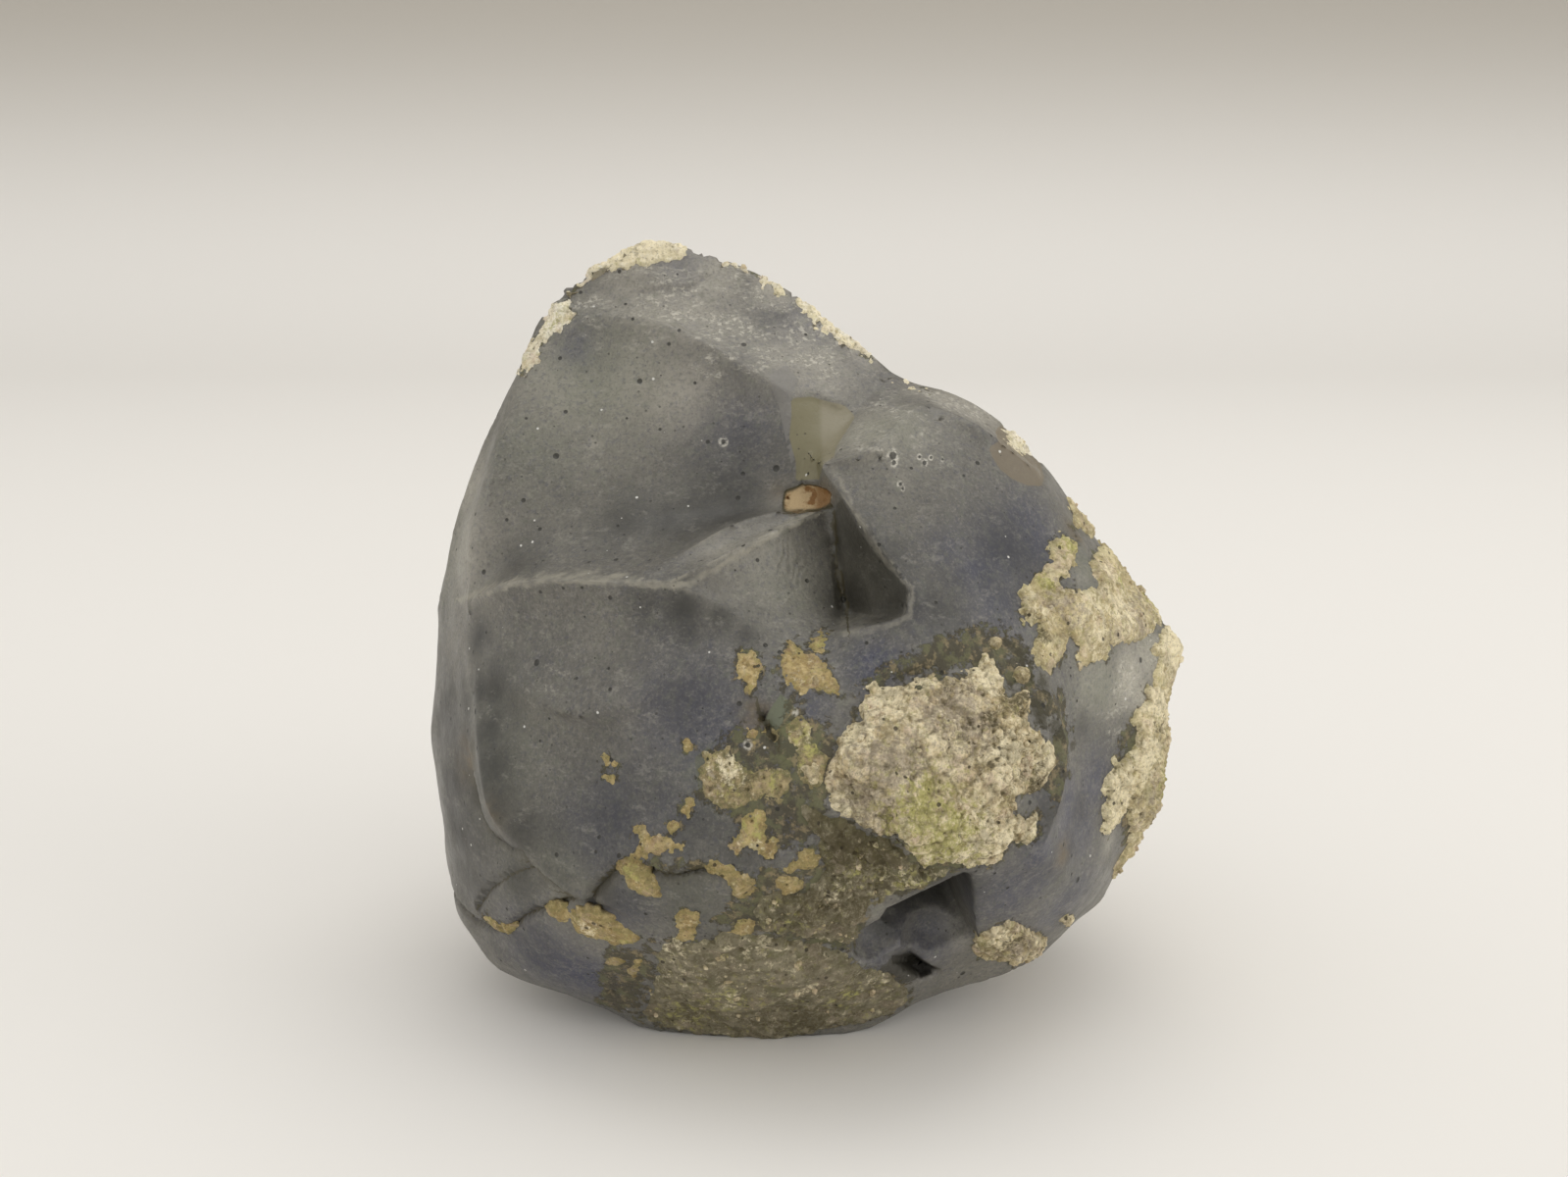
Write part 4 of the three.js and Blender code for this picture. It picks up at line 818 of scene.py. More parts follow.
# The glass is the lump with ripples, cracks and chips, sunk under the crusts.
glassForm = {
    "underCrust": 0.55,  # how deep it is sunk there
    "footHeight": 0.4,  # nothing moves below this
    "lineReach": 3.0,  # how far off a crack or rim is still known
    "crackFade": 2.6,
    "crackEnd": 12,
    "creaseShadeReach": 1.3,
    "creaseShadeStrength": 0.25,
    "chipEdge": 0.3,
    "chipFade": 4,
    "hiddenRidges": 0.8,  # the share of a ridge's painted highlight that crust takes away
    "filmEdge": (0.8, -1.6),
    "filmWander": 1.2,
    "filmWave": 3.0,
    "ripples": {"middle": (-9, -22, 66), "wave": 0.95},
    "shells": {"middle": (-30, 4, 90), "wave": 9.0, "height": 0.12, "wander": 0.4, "wanderWave": 5.0,
               "place": [(-20, -6, 74, 18, 1.0)]},
    "bulges": [(-27, -25, 4, 6, 1.5), (-21, -24, 3, 5, 0.8), (-47, -14, 13, 4, 0.7)],
    "highlightRims": [  # painted highlights along edges of the broken faces: x, z on the front
        {"line": [(-45.4, 55.7), (-41.7, 58.2), (-36.9, 60.4), (-31.5, 62.0), (-26.5, 62.5), (-21.5, 62.6),
            (-16.7, 62.4), (-13.8, 62.8), (-10.9, 64.2), (-6.2, 66.6), (-2.6, 68.0), (1.1, 68.9)],
            "half": 0.22},
        {"line": [(3.5, 75.1), (4.4, 73.7), (5.3, 72.0), (6.4, 70.0), (7.8, 67.8), (9.2, 65.7),
            (10.5, 64.2), (12.7, 62.6), (12.6, 59.6), (10.5, 58.6), (8.9, 58.0), (6.8, 57.3), (4.7, 56.8)],
            "half": 0.12},
    ],
    "cracks": [  # how wide and deep, how far the lower side is set back, and half of the dark line of crack dirt and painted shade
        {"line": [(-48, 15.4), (-45.5, 14.7), (-43.4, 13.8), (-41.2, 14.3), (-39.2, 14.9), (-37.6, 16.3),
            (-36.3, 18.2), (-34.7, 19.7), (-33, 20.8), (-31.8, 22), (-29.7, 23.2), (-27.6, 24),
            (-26.5, 24.3)], "width": 0.55, "depth": 0.9, "step": 0.3, "dark": 0.3},
        {"line": [(-42.1, 35), (-41.2, 31.5), (-40.2, 29.8), (-39, 29), (-36.8, 28.8), (-35.1, 29),
            (-34.3, 27.6), (-31.9, 26.1), (-30.6, 25.6), (-28.8, 24.7), (-26.5, 24.3)], "width": 0.5,
            "depth": 0.5, "step": 1.2, "dark": 0.4},
        {"line": [(-26.5, 24.3), (-25.7, 26.3), (-24.2, 28.5), (-22.9, 30.1), (-21.5, 31.3), (-19.9, 31.1),
            (-18.1, 30.6), (-16.8, 30.2), (-15.2, 30.5), (-14, 31.2), (-12.2, 31.8), (-10.5, 31.7),
            (-8.8, 31.3), (-7.7, 30.6), (-6.5, 29.8)], "width": 0.55, "depth": 0.9, "step": 0.8,
            "dark": 0.32},
        {"line": [(-42.8, 16.6), (-41.9, 18.4), (-41, 20), (-39.6, 21.9), (-37.9, 23.6), (-36, 25.2),
            (-34.3, 26.6)], "width": 0.45, "depth": 0.5, "step": 0.1, "dark": 0.2},
        {"line": [(-5.3, 49.0), (-4.6, 47.8), (-3.8, 46.7)], "width": 0.9, "depth": 1.5, "step": 0.0,
            "dark": 0.5},
        {"line": [(-13.9, 19.8), (-11.1, 19.7)], "width": 0.4, "depth": 0.5, "step": 0.0, "dark": 0.3},
        {"line": [(3.3, 69.5), (3.6, 67.0), (3.9, 64.0), (4.4, 60.6), (5.0, 57.9)], "width": 0.8,
            "depth": 0.5, "step": 0.0, "dark": 0.3},
    ],
    "chips": {  # where the glass has flaked: how deep, and the foremost y that counts
        "chip": {"outline": [(-1.7, 82.3), (1, 82.4), (3.2, 81.8), (5.3, 81.3), (6.6, 80.1), (5.2, 78.5),
            (4, 77.1), (3.5, 76.3), (2, 75.7), (1.7, 72.9), (-1.2, 72.3), (-1.1, 74.7), (-2, 77.6),
            (-1.6, 80.5)], "depth": 0.35, "from": -20},
        "strip": {"outline": [(-4.6, 84.8), (-3.2, 81), (-2.6, 78.1), (-1.6, 74), (-1.1, 72.3),
            (-1.1, 74.7), (-2, 77.6), (-1.6, 80.5), (-1.7, 82.5), (-0.6, 84.2), (-2.4, 86)], "depth": -0.12,
            "from": -20},
        "oval": {"outline": [(23.6, 76.6), (24.1, 75.4), (25.1, 73.9), (26.7, 72.6), (28.6, 71.6),
            (30.7, 71.1), (31.8, 71.7), (32.6, 73.6), (30.3, 75.6), (28, 77.6), (25.8, 77.6)], "depth": 0.3,
            "from": -20},
        "plate": {"outline": [(-5.2, 48.2), (-2.9, 51), (-1, 49.4), (-0.7, 45.6), (-1.4, 43.8),
            (-3.2, 44.6), (-3.9, 46.6)], "depth": -0.25, "from": -60},
        "scar": {"outline": [(-13.2, 43.6), (-11.6, 45), (-9.8, 44), (-9.6, 41.2), (-6.4, 40), (-7, 38.8),
            (-10, 38.6), (-12.6, 40)], "depth": 0.12, "from": -60},
        # shadedWall and shadedSlot have no depth: they paint shade inside the pocket and in the notch under
        # the cave's lobes
        "shadedWall": {"outline": [(4.4, 71.8), (5.6, 70), (7, 67.8), (8.6, 65.9), (9.8, 64.4), (11.4, 63.4),
            (12.5, 62.2), (12.1, 61.8), (12.1, 59.6), (10.5, 58.9), (8.9, 58.3), (6.8, 57.7), (4.8, 57.3),
            (3.7, 58.1), (3.3, 62.4), (3.4, 67), (3.8, 70.5)], "depth": 0.0, "from": -60},
        "shadedSlot": {"outline": [(8, 12.4), (9.3, 13.6), (10.8, 14.6), (12.2, 13.6), (14.6, 12.4), (16.8, 11),
            (18, 9.9), (15.6, 9.4), (13, 9), (10.8, 9.6), (9.2, 10.6)], "depth": 0.0, "from": -60},
        "nick": {"outline": [(-2.9, 69.3), (2.9, 69.5), (3, 71.8), (-0.4, 72.1), (-2.7, 71.3)],
            "depth": 0.6, "from": -60},
    },
    "marks": {  # soft spots of colour, some of them painted light and shade: x, y, z, reach, strength
        "blue": [(18.7, -23.8, 65.4, 5, 0.6), (21.3, -24.5, 62.5, 5, 1.0), (25.5, -19.4, 65.1, 6, 1.0),
            (-24.3, -34.9, 22.1, 4, 0.8), (-30.4, -25.9, 12, 6, 1.0), (32.8, -27, 33, 5, 1.0),
            (34, -25, 30, 5, 1.0), (30, -32, 38.8, 4, 0.7), (25.5, -26.7, 16.4, 4, 0.9),
            (15.7, -24.8, 15, 5, 0.8), (28.4, -15.5, 66, 6, 1.0), (24, -20, 64, 6, 1.0),
            (22, -24, 60, 6, 0.9), (14, -30, 59, 5, 0.3), (37, -21, 35, 5, 0.8), (32, -28, 33.5, 6, 1.0),
            (28.8, -33.8, 30.6, 4, 1.0), (28, -31, 26, 5, 0.8), (33, -27, 42, 3, 0.6),
            (-33, -25, 12.3, 8, 1.0), (-28, -26, 11, 6, 1.0), (-24, -35, 35, 6, 0.9),
            (-20, -36, 30, 4, 0.4), (-14, -34, 48, 8, 0.8), (-10, -37, 47, 5, 0.7), (-20, -35, 40, 5, 0.4),
            (-17, -38, 38, 5, 0.5), (8, -34, 55, 4, 0.9), (1, -36, 50, 2.5, 0.7), (12, -30, 17, 7, 0.7),
            (24, -32, 25, 6, 0.9), (33, -24, 20, 6, 0.8), (-17, 9, 97, 4, 0.7), (-30, 3, 88, 3, 0.7),
            (-8, -6, 77, 7, 0.5), (-3, -41, 37, 3, 0.9), (0, 6, 90, 5, 0.4), (-22, -37.5, 25, 4, 0.6),
            (14, 32, 60, 14, 0.6), (-30, 30, 30, 14, 0.7)],
        "green": [(-28, 1, 84, 9, 1.0), (-35, -4, 76, 8, 0.6), (-22, -1, 84, 6, 0.5), (10, -13, 80, 6, 0.9),
            (-2.6, -24, 62, 6, 0.6), (-12, -37, 42, 3, 0.7), (-14, -41, 27, 4, 0.9), (46, -8, 52, 4, 0.6),
            (35.5, -13, 61.5, 4, 1.0), (37, -19, 47.5, 5, 1.0), (33, -27, 24, 4, 0.5),
            (-20, 25, 70, 16, 0.6), (-48, 0, 60, 9, 0.5), (-40, -23, 40, 9, 0.8), (-30, -33.5, 28, 5, 0.8),
            (-36, -27, 24, 4, 0.6)],
        # milk: milky glass on the right slope; on the cave's lobes and the crest it is painted light
        "milk": [(42, -13.9, 47, 4, 1.0), (46, -9, 49, 4, 1.0), (37.5, -20.4, 34.5, 1.2, 0.5),
            (39.7, -17.8, 25.5, 2, 0.5), (35.7, -20.8, 47.7, 1.8, 0.6), (37.2, -19.2, 48.5, 3, 0.6),
            (44, -12, 44, 3, 0.7), (47, -7, 46, 4, 1.0), (34.7, -15.9, 61.1, 2.4, 0.35),
            (39, -17, 44, 2.5, 0.4), (14, -26.5, 17, 2, 0.5), (19, -24.5, 15.5, 2.6, 0.8),
            (16.3, -24.8, 14.9, 2.2, 0.7), (10.9, -29.4, 16.8, 1.4, 0.5), (9.5, -27.5, 18.5, 2.6, 0.5),
            (-17, 7.5, 98.5, 3, 0.4), (-13.2, 7.8, 97.8, 3, 0.35), (28, -28, 24, 1.5, 0.5),
            (24, -32, 30, 1.2, 0.5)],
        "ripple": [(-1.6, -22, 63.4, 3.6, 1.0)],
        # light: paler glass in the hollow, and painted light on the up-facing ledge, the crest and the
        # block's rim, with a painted reflection on the left rim
        "light": [(-31, 0, 83.5, 8, 0.8), (-23.3, -1.2, 83.7, 6, 0.9), (-16.7, -3, 82.6, 6, 1.0),
            (-16, 4, 92, 9, 0.8), (1, 0, 86, 8, 0.8), (-22, 7, 95, 8, 1.0), (-4, 8, 95, 4, 1.0),
            (1.4, 6, 91, 4, 0.8), (8, 4, 87, 4, 0.7), (-13, 7, 96.5, 5, 0.9), (4, 2.6, 87, 5, 0.5),
            (-45, -6, 62, 8, 1.0), (-44.8, 0, 69, 6, 0.9), (-7, -21, 67, 6, 0.5), (-4, -24, 62, 6, 0.5),
            (-11, -27, 62, 4, 0.4), (8.7, -12, 79, 7, 1.0), (-17, -13, 78, 5, 0.5), (-5, -22, 66, 4, 0.9),
            (-9.8, -23.6, 66, 4, 0.8), (-2.6, -21.6, 65.6, 3, 0.6), (-46.5, -5, 56, 4, 0.6),
            (21, 1, 80, 9, 0.8), (5, -28, 60, 4, 0.2), (-47, -8, 50, 5, 0.4), (42, -14, 47, 5, 1.0),
            (37, -19, 47.5, 5, 0.7), (-4, -14, 71.5, 2.5, 1.0), (35.5, -13, 61.5, 3, 0.5),
            (1, -10, 77, 3, 0.4)],
        # shade: painted shade in the hollow, under the ledge, in the pocket and cave, on the left flank and
        # by the cracks
        "shade": [(-10.7, -12.2, 68.7, 9, 1.0), (-44.9, -12.8, 45.3, 3, 0.9), (-45.6, -13.4, 40.1, 4, 1.0),
            (-43.8, -15.9, 43.6, 3, 1.0), (-43.6, -17.6, 40.2, 3, 1.0), (-43.6, -18.6, 36.5, 3, 1.0),
            (-42.4, -20.8, 33.3, 3, 1.0), (-45.4, -14.4, 36, 5, 1.0), (-41, -22.9, 31.5, 2.4, 1.0),
            (-39.7, -24.4, 30.1, 2.4, 1.0), (-37.5, -26.9, 29.1, 2.2, 1.0), (-34.4, -31.5, 29, 1.6, 1.0),
            (-31.8, -33, 27.7, 1.6, 0.9), (-39.2, -20.4, 47.6, 5, 1.0), (-39.6, -22.3, 43, 5, 1.0),
            (-39.4, -24.6, 38.6, 6, 1.0), (-38.5, -27.1, 34.4, 6, 0.9), (-35.1, -30.2, 31.7, 6, 0.9),
            (-14.5, -29, 60, 3.5, 1.0), (-7.7, -8.1, 74.3, 5, 0.6), (-44, -17, 38, 6, 1.0),
            (-47.2, -9.7, 40, 8, 1.0), (-45.5, -14, 33, 7, 1.0), (35, -22.3, 43, 2, 0.5),
            (34.5, -24.5, 32, 3, 0.6), (32.9, -27.5, 28, 4, 0.7), (30, -32.9, 35.3, 4, 0.8),
            (16.2, -29.1, 60, 5, 0.8), (10.9, -29.1, 61.2, 4, 1.0), (-15, -36, 56, 2, 0.4),
            (-14.3, -28.8, 60.5, 3, 0.8), (-10.2, -29.6, 58.9, 2.5, 0.9), (-7, -30.7, 57.4, 2, 0.7),
            (-19, -28, 60, 3, 0.5), (-36.9, -13.3, 62.2, 4, 0.7), (25.5, -19.4, 65, 7, 0.8),
            (18, -27, 62, 5, 0.5), (23, -23, 61, 5, 0.6), (-10.8, -27.5, 62, 2, 0.5),
            (-36.9, -23.1, 45.8, 6, 0.7), (-14.2, -33.7, 49.1, 5, 0.5), (-23.8, -32.1, 43.7, 6, 0.4),
            (-31.2, -32.1, 32.4, 6, 0.6), (-14.1, -39.1, 35.2, 5, 0.6), (-46, -15.1, 25.7, 8, 1.0),
            (-47.2, -10.5, 38, 6, 0.6), (-23.8, -36.8, 25.6, 4, 0.8), (-20, -36, 37.7, 6, 0.5),
            (-7.2, -41, 33.6, 4, 0.6), (-34.4, -28.7, 24.6, 4, 0.5), (25.5, -19.4, 65, 6, 0.5),
            (16.2, -29, 60, 4, 0.5), (-15, -14, 68, 8, 1.0), (-22.6, -13, 67.5, 7, 0.8),
            (-28, -12, 67, 6, 0.4), (-8, -12, 69, 6, 0.7), (-4, -8, 75, 5, 0.4), (-36, -13, 62, 5, 0.5),
            (7, -23, 66, 5, 0.9), (9, -26.5, 64, 5, 1.0), (6, -22, 60, 4, 1.0), (11, -29, 61, 4, 1.0),
            (4, -17, 65, 3, 0.8), (-37, -23, 46, 8, 0.5), (-41.6, -15.4, 52.6, 4, 1.0),
            (-41.2, -18.7, 47, 4, 1.0), (-41.2, -21.8, 41.6, 4, 1.0), (-40.3, -25, 36, 4, 1.0),
            (-31, -32, 32, 7, 0.5), (-24, -35, 35, 7, 0.7), (-26, -35, 32, 5, 0.5), (-20, -36, 39, 7, 0.5),
            (-27, -33, 40, 6, 0.5), (-36, -27, 24, 4, 0.9), (-30, -34, 27, 4, 0.6), (-45, -17, 26, 9, 0.9),
            (-43.7, -18, 21.5, 6, 0.8), (-40, -22, 27, 6, 0.4), (-22, -31, 53, 5, 0.3),
            (-15, -33, 50, 5, 0.4), (-21, -38, 26, 4, 0.5), (-14, -40, 27, 5, 0.6), (-14, -30, 58, 3, 0.8),
            (-8, -27, 58, 3, 0.4), (-25, -36, 39.5, 1.2, 0.8), (-31, -30, 42, 1.6, 0.6),
            (17, -34, 27, 6, 1.0), (13, -22, 25, 9, 1.0), (14, -19, 12, 4, 0.8),
            (9.7, -28.7, 19.3, 2.6, 1.0), (-35, -25, 14, 5, 0.6), (28, -30, 29, 5, 0.5),
            (26, -19, 64, 6, 0.4), (14, -22, 70, 6, 0.3)],
        # sootAndShadow: dark dross film beside the crust_mass, and painted shadow under its lower edge
        "sootAndShadow": [(27, -29.1, 51.4, 2.2, 0.7), (30.1, -28.9, 50.1, 2.2, 0.7), (31.2, -30.3, 45.6, 2.4, 1.0),
            (33.5, -24.4, 40.9, 1.6, 0.8), (24.7, -27.5, 55.3, 1.6, 0.7), (28.2, -31.5, 47.8, 2.4, 1.0),
            (30, -32.9, 35.3, 1.8, 0.4), (29.5, -29, 50.8, 2.4, 1.0), (5.3, -43.3, 38.6, 1.6, 0.7),
            (26.5, -28, 53.6, 2, 0.9)],
        "frost": [(-28, 5.5, 93, 5, 0.6), (-18, 6, 94, 6, 0.9), (-9, 1, 90, 7, 1.0), (0, 2, 87, 6, 1.0),
            (4, 7, 89, 7, 0.9), (-6, 8, 94, 7, 0.8), (12, -8, 81.5, 5, 0.7), (22, -1, 80, 7, 1.0),
            (9, -16, 77.6, 3, 0.7), (16, -12, 79, 4, 0.4), (28, 0, 76, 5, 0.7), (46, -8, 49, 4, 1.0),
            (42, -14, 47, 4, 0.9), (39, -17, 42, 4, 0.4), (-31, -26, 50, 4, 0.25), (-19, -31, 50, 3, 0.2)],
        "stain": [(-43.5, -18, 37, 3.5, 0.7), (-6, -36, 49, 2, 0.7), (32, -29, 29, 2, 0.8),
            (-39.5, -27, 33, 2.5, 0.4), (-30, -24, 17, 3, 0.3), (-16, -25, 61, 2, 0.3),
            (-3, -12, 71, 2, 0.4), (35.6, -8, 65, 2, 0.8)],
    },
    "films": [  # outlines that dross has stained
        [(-9.2, 47.4), (-3.9, 48), (1.5, 47), (4.2, 48), (4.4, 42.7), (3, 38.5), (-0.5, 34.5), (-4, 33.2),
            (-8.6, 36.8), (-12.1, 39.5), (-12.7, 44.5)],
        [(-3.7, 51.2), (-0.9, 51.8), (2, 47.7), (4.5, 47.3), (3.1, 45), (2.3, 42.7), (-0.9, 42.5),
            (-2.6, 45.7)],
        [(4, 31), (10, 34), (20, 34), (19, 30.5), (14.4, 27.5), (10.4, 26), (7, 24.5), (4, 22), (2, 24)],
        [(7.2, 51.7), (9, 54.5), (14.9, 57.6), (21.1, 58.1), (26.1, 56.7), (27.4, 53.7), (28.3, 51.3),
            (32, 48.7), (34.3, 43.3), (33.5, 37.5), (29.4, 35.4), (28.1, 39.1), (29.9, 45.7), (25.7, 50.5),
            (19.5, 52.4), (13.4, 52.4)],
        [(-3.6, 44), (-1, 45.4), (1.2, 49), (3.1, 47.9), (2.2, 43.2), (3, 39.3), (-0.3, 36), (-2.6, 38.5),
            (-4.6, 41)],
        [(-5.6, 33), (-1, 32.4), (5.5, 34), (8.2, 24), (6.8, 17.5), (-2.6, 20.5), (-9.5, 22.5),
            (-14.2, 22.5), (-10.5, 27.4), (-7.1, 30.1)],
        [(-13.4, 43.6), (-7.2, 45.8), (-1.7, 44.3), (-0.8, 40.7), (-4, 38), (-8.4, 37.9), (-12.8, 38.5)],
        [(-25.5, 17.2), (-21.9, 18.1), (-18.7, 19.9), (-18.2, 14), (-21.1, 6.3), (-23.3, 3), (-27, 4.5),
            (-26.9, 11)],
        [(-20.9, 31.9), (-17.5, 32.8), (-13, 33.4), (-10.5, 32.4), (-12.2, 31.6), (-14, 31), (-16.8, 30),
            (-18.1, 30.4)],
        [(40, 40), (44, 43), (50, 40), (49, 24), (44, 20), (41, 26)],
    ],
    "filmPatches": [((14, 38, 34), (26, 14, 15)), ((31, 28, 38), (13, 13, 12)), ((-44, 18, 30), (8, 11, 11))],
}


def lineFields(points, lines, half):  # signed distance to the nearest of several lines, and its half width
    most = glassForm["lineReach"]
    reach = np.full(len(points), farOff)
    offset = np.full(len(points), most)
    width = np.zeros(len(points))
    for line in lines:
        gap, _, side = lineGap(points, line["line"])
        nearer = gap - line[half] < reach
        reach = np.where(nearer, gap - line[half], reach)
        offset = np.where(nearer, side * gap, offset)
        width = np.where(nearer, line[half], width)
    return np.clip(offset, -most, most), width * ease(1.6, 0.8, reach)


def ringWaves(points, rings):
    wander = rings["wander"] * cloud(points, rings["wanderWave"], 2, 6.6)
    gap = np.linalg.norm(points - rings["middle"], axis=1) + wander
    return rings["height"] * np.sin(gap * 2 * math.pi / rings["wave"]) * spots(points, rings["place"])


def chipGap(points, kind):
    gap = outlineGap(points, kind["outline"])
    return np.where(points[:, 1] > kind["from"], gap, farOff)


glassPoints = basePoints.copy()
crease = np.zeros(len(basePoints))
glassHeight = lump["swell"] * cloud(basePoints, lump["swellWave"], 2, 3.3)
glassHeight += lump["ripple"] * cloud(basePoints, lump["rippleWave"], 3, 5.9)
glassHeight += ringWaves(basePoints, glassForm["shells"])
for crack in glassForm["cracks"]:
    gap, nearest, side = lineGap(basePoints, crack["line"])
    onLine = gap < lump["snap"]
    glassPoints[onLine, 0] = nearest[onLine, 0]
    glassPoints[onLine, 2] = nearest[onLine, 1]
    gap = np.where(onLine, 0, gap)
    lower = side < 0
    setBack = np.exp(-gap / glassForm["crackFade"]) * lower * (gap < glassForm["crackEnd"])
    glassHeight -= crack["depth"] * np.clip(1 - gap / crack["width"], 0, 1)
    glassHeight -= crack["step"] * setBack
    # the set-back side gets painted shade along the crack
    shadeStrength = min(1, glassForm["creaseShadeStrength"] + crack["step"])
    crease = np.maximum(crease, np.exp(-(gap / glassForm["creaseShadeReach"]) ** 2) * shadeStrength * lower)
glassFields = {name: spots(basePoints, places) for name, places in glassForm["marks"].items()}
for name, kind in glassForm["chips"].items():
    gap = chipGap(basePoints, kind)
    glassHeight -= kind["depth"] * ease(glassForm["chipEdge"], -glassForm["chipEdge"], gap)
    glassFields[name] = np.clip(0.5 - gap / glassForm["chipFade"], 0, 1)
for *place, height in glassForm["bulges"]:
    glassHeight += height * spots(basePoints, [(*place, 1.0)])
glassHeight -= glassForm["underCrust"] * sunk
glassHeight = np.where(basePoints[:, 2] < glassForm["footHeight"], 0, glassHeight)
glassPoints += baseNormals * glassHeight[:, None]
glassPoints[:, 2] = np.maximum(glassPoints[:, 2], 0)
glass = writeMesh("glass_lump", glassPoints, baseQuads)
glassFields["ridge"] = ridgeHighlight * (1 - glassForm["hiddenRidges"] * fringe)
glassFields["crackSide"], glassFields["crackHalf"] = lineFields(basePoints, glassForm["cracks"], "dark")
glassFields["rimSide"], glassFields["rimHalf"] = lineFields(basePoints, glassForm["highlightRims"], "half")
glassFields["crease"] = crease
glassFields["fringe"] = fringe
filmGap = patchGap(basePoints, glassForm["filmPatches"])
for outline in glassForm["films"]:
    filmGap = np.minimum(filmGap, outlineGap(basePoints, outline))
filmGap += glassForm["filmWander"] * cloud(basePoints, glassForm["filmWave"], 4, 1.7)
glassFields["dirt"] = ease(*glassForm["filmEdge"], filmGap)
storeFields(glass, glassFields)
print("glass lump:", len(baseQuads), "faces")


def makeSpeckle():  # scattered round dots: a mask and a dished height
    tree, given, result = startGroup(
        "speckle",
        [("Density", "value", 500.0), ("Size", "value", 0.2), ("Share", "value", 0.5)],
        [("Mask", "value"), ("Height", "value")],
    )
    dots = addNode(tree, "ShaderNodeTexVoronoi", {"Vector": objectSpace(tree), "Scale": given["Density"]})
    chance = addNode(tree, "ShaderNodeSeparateColor", {"Color": dots.outputs["Color"]})
    radius = times(tree, given["Size"], remap(tree, chance.outputs["Green"], 0, 1, 0.35, 1.3))
    depth = calculate(tree, "DIVIDE", dots.outputs["Distance"], radius)
    chosen = calculate(tree, "LESS_THAN", chance.outputs["Red"], given["Share"])
    mask = times(tree, remap(tree, depth, 1.0, 0.75), chosen)
    bowl = times(tree, remap(tree, depth, 0.0, 1.1, 1.0, 0.0), chosen)
    feed(tree, result, {"Mask": mask, "Height": bowl})
    return tree


def makeMottle():  # three colours in soft clouds
    tree, given, result = startGroup(
        "mottle",
        [("Light", "color", (0.5, 0.5, 0.5, 1)), ("Middle", "color", (0.3, 0.3, 0.3, 1)),
         ("Deep", "color", (0.1, 0.1, 0.1, 1)), ("Density", "value", 100.0), ("Detail", "value", 5.0)],
        [("Color", "color")],
    )
    inputs = {"Vector": objectSpace(tree), "Scale": given["Density"], "Detail": given["Detail"],
              "Roughness": 0.6, "Distortion": 0.4}
    clouds = addNode(tree, "ShaderNodeTexNoise", inputs).outputs["Fac"]
    color = blendColors(tree, remap(tree, clouds, 0.5, 0.34), given["Middle"], given["Deep"])
    color = blendColors(tree, remap(tree, clouds, 0.5, 0.66), color, given["Light"])
    feed(tree, result, {"Color": color})
    return tree


def makePit():  # one open bubble: its hole and its pale rim, told apart on the front
    tree, given, result = startGroup(
        "open_bubble",
        [("Place", "place", (0, 0, 0)), ("Size", "value", 0.0003)],
        [("Hole", "value"), ("Rim", "value")],
    )
    flat = onVectors(tree, "SUBTRACT", {0: objectSpace(tree), 1: given["Place"]})
    flat = onVectors(tree, "MULTIPLY", {0: flat, 1: (1, 0.15, 1)})
    gap = onVectors(tree, "LENGTH", {0: flat}, "Value")
    share = calculate(tree, "DIVIDE", gap, given["Size"])
    feed(tree, result, {"Hole": remap(tree, share, 1.1, 0.8), "Rim": remap(tree, share, 2.1, 1.3)})
    return tree


speckle = makeSpeckle()
mottle = makeMottle()
openBubble = makePit()


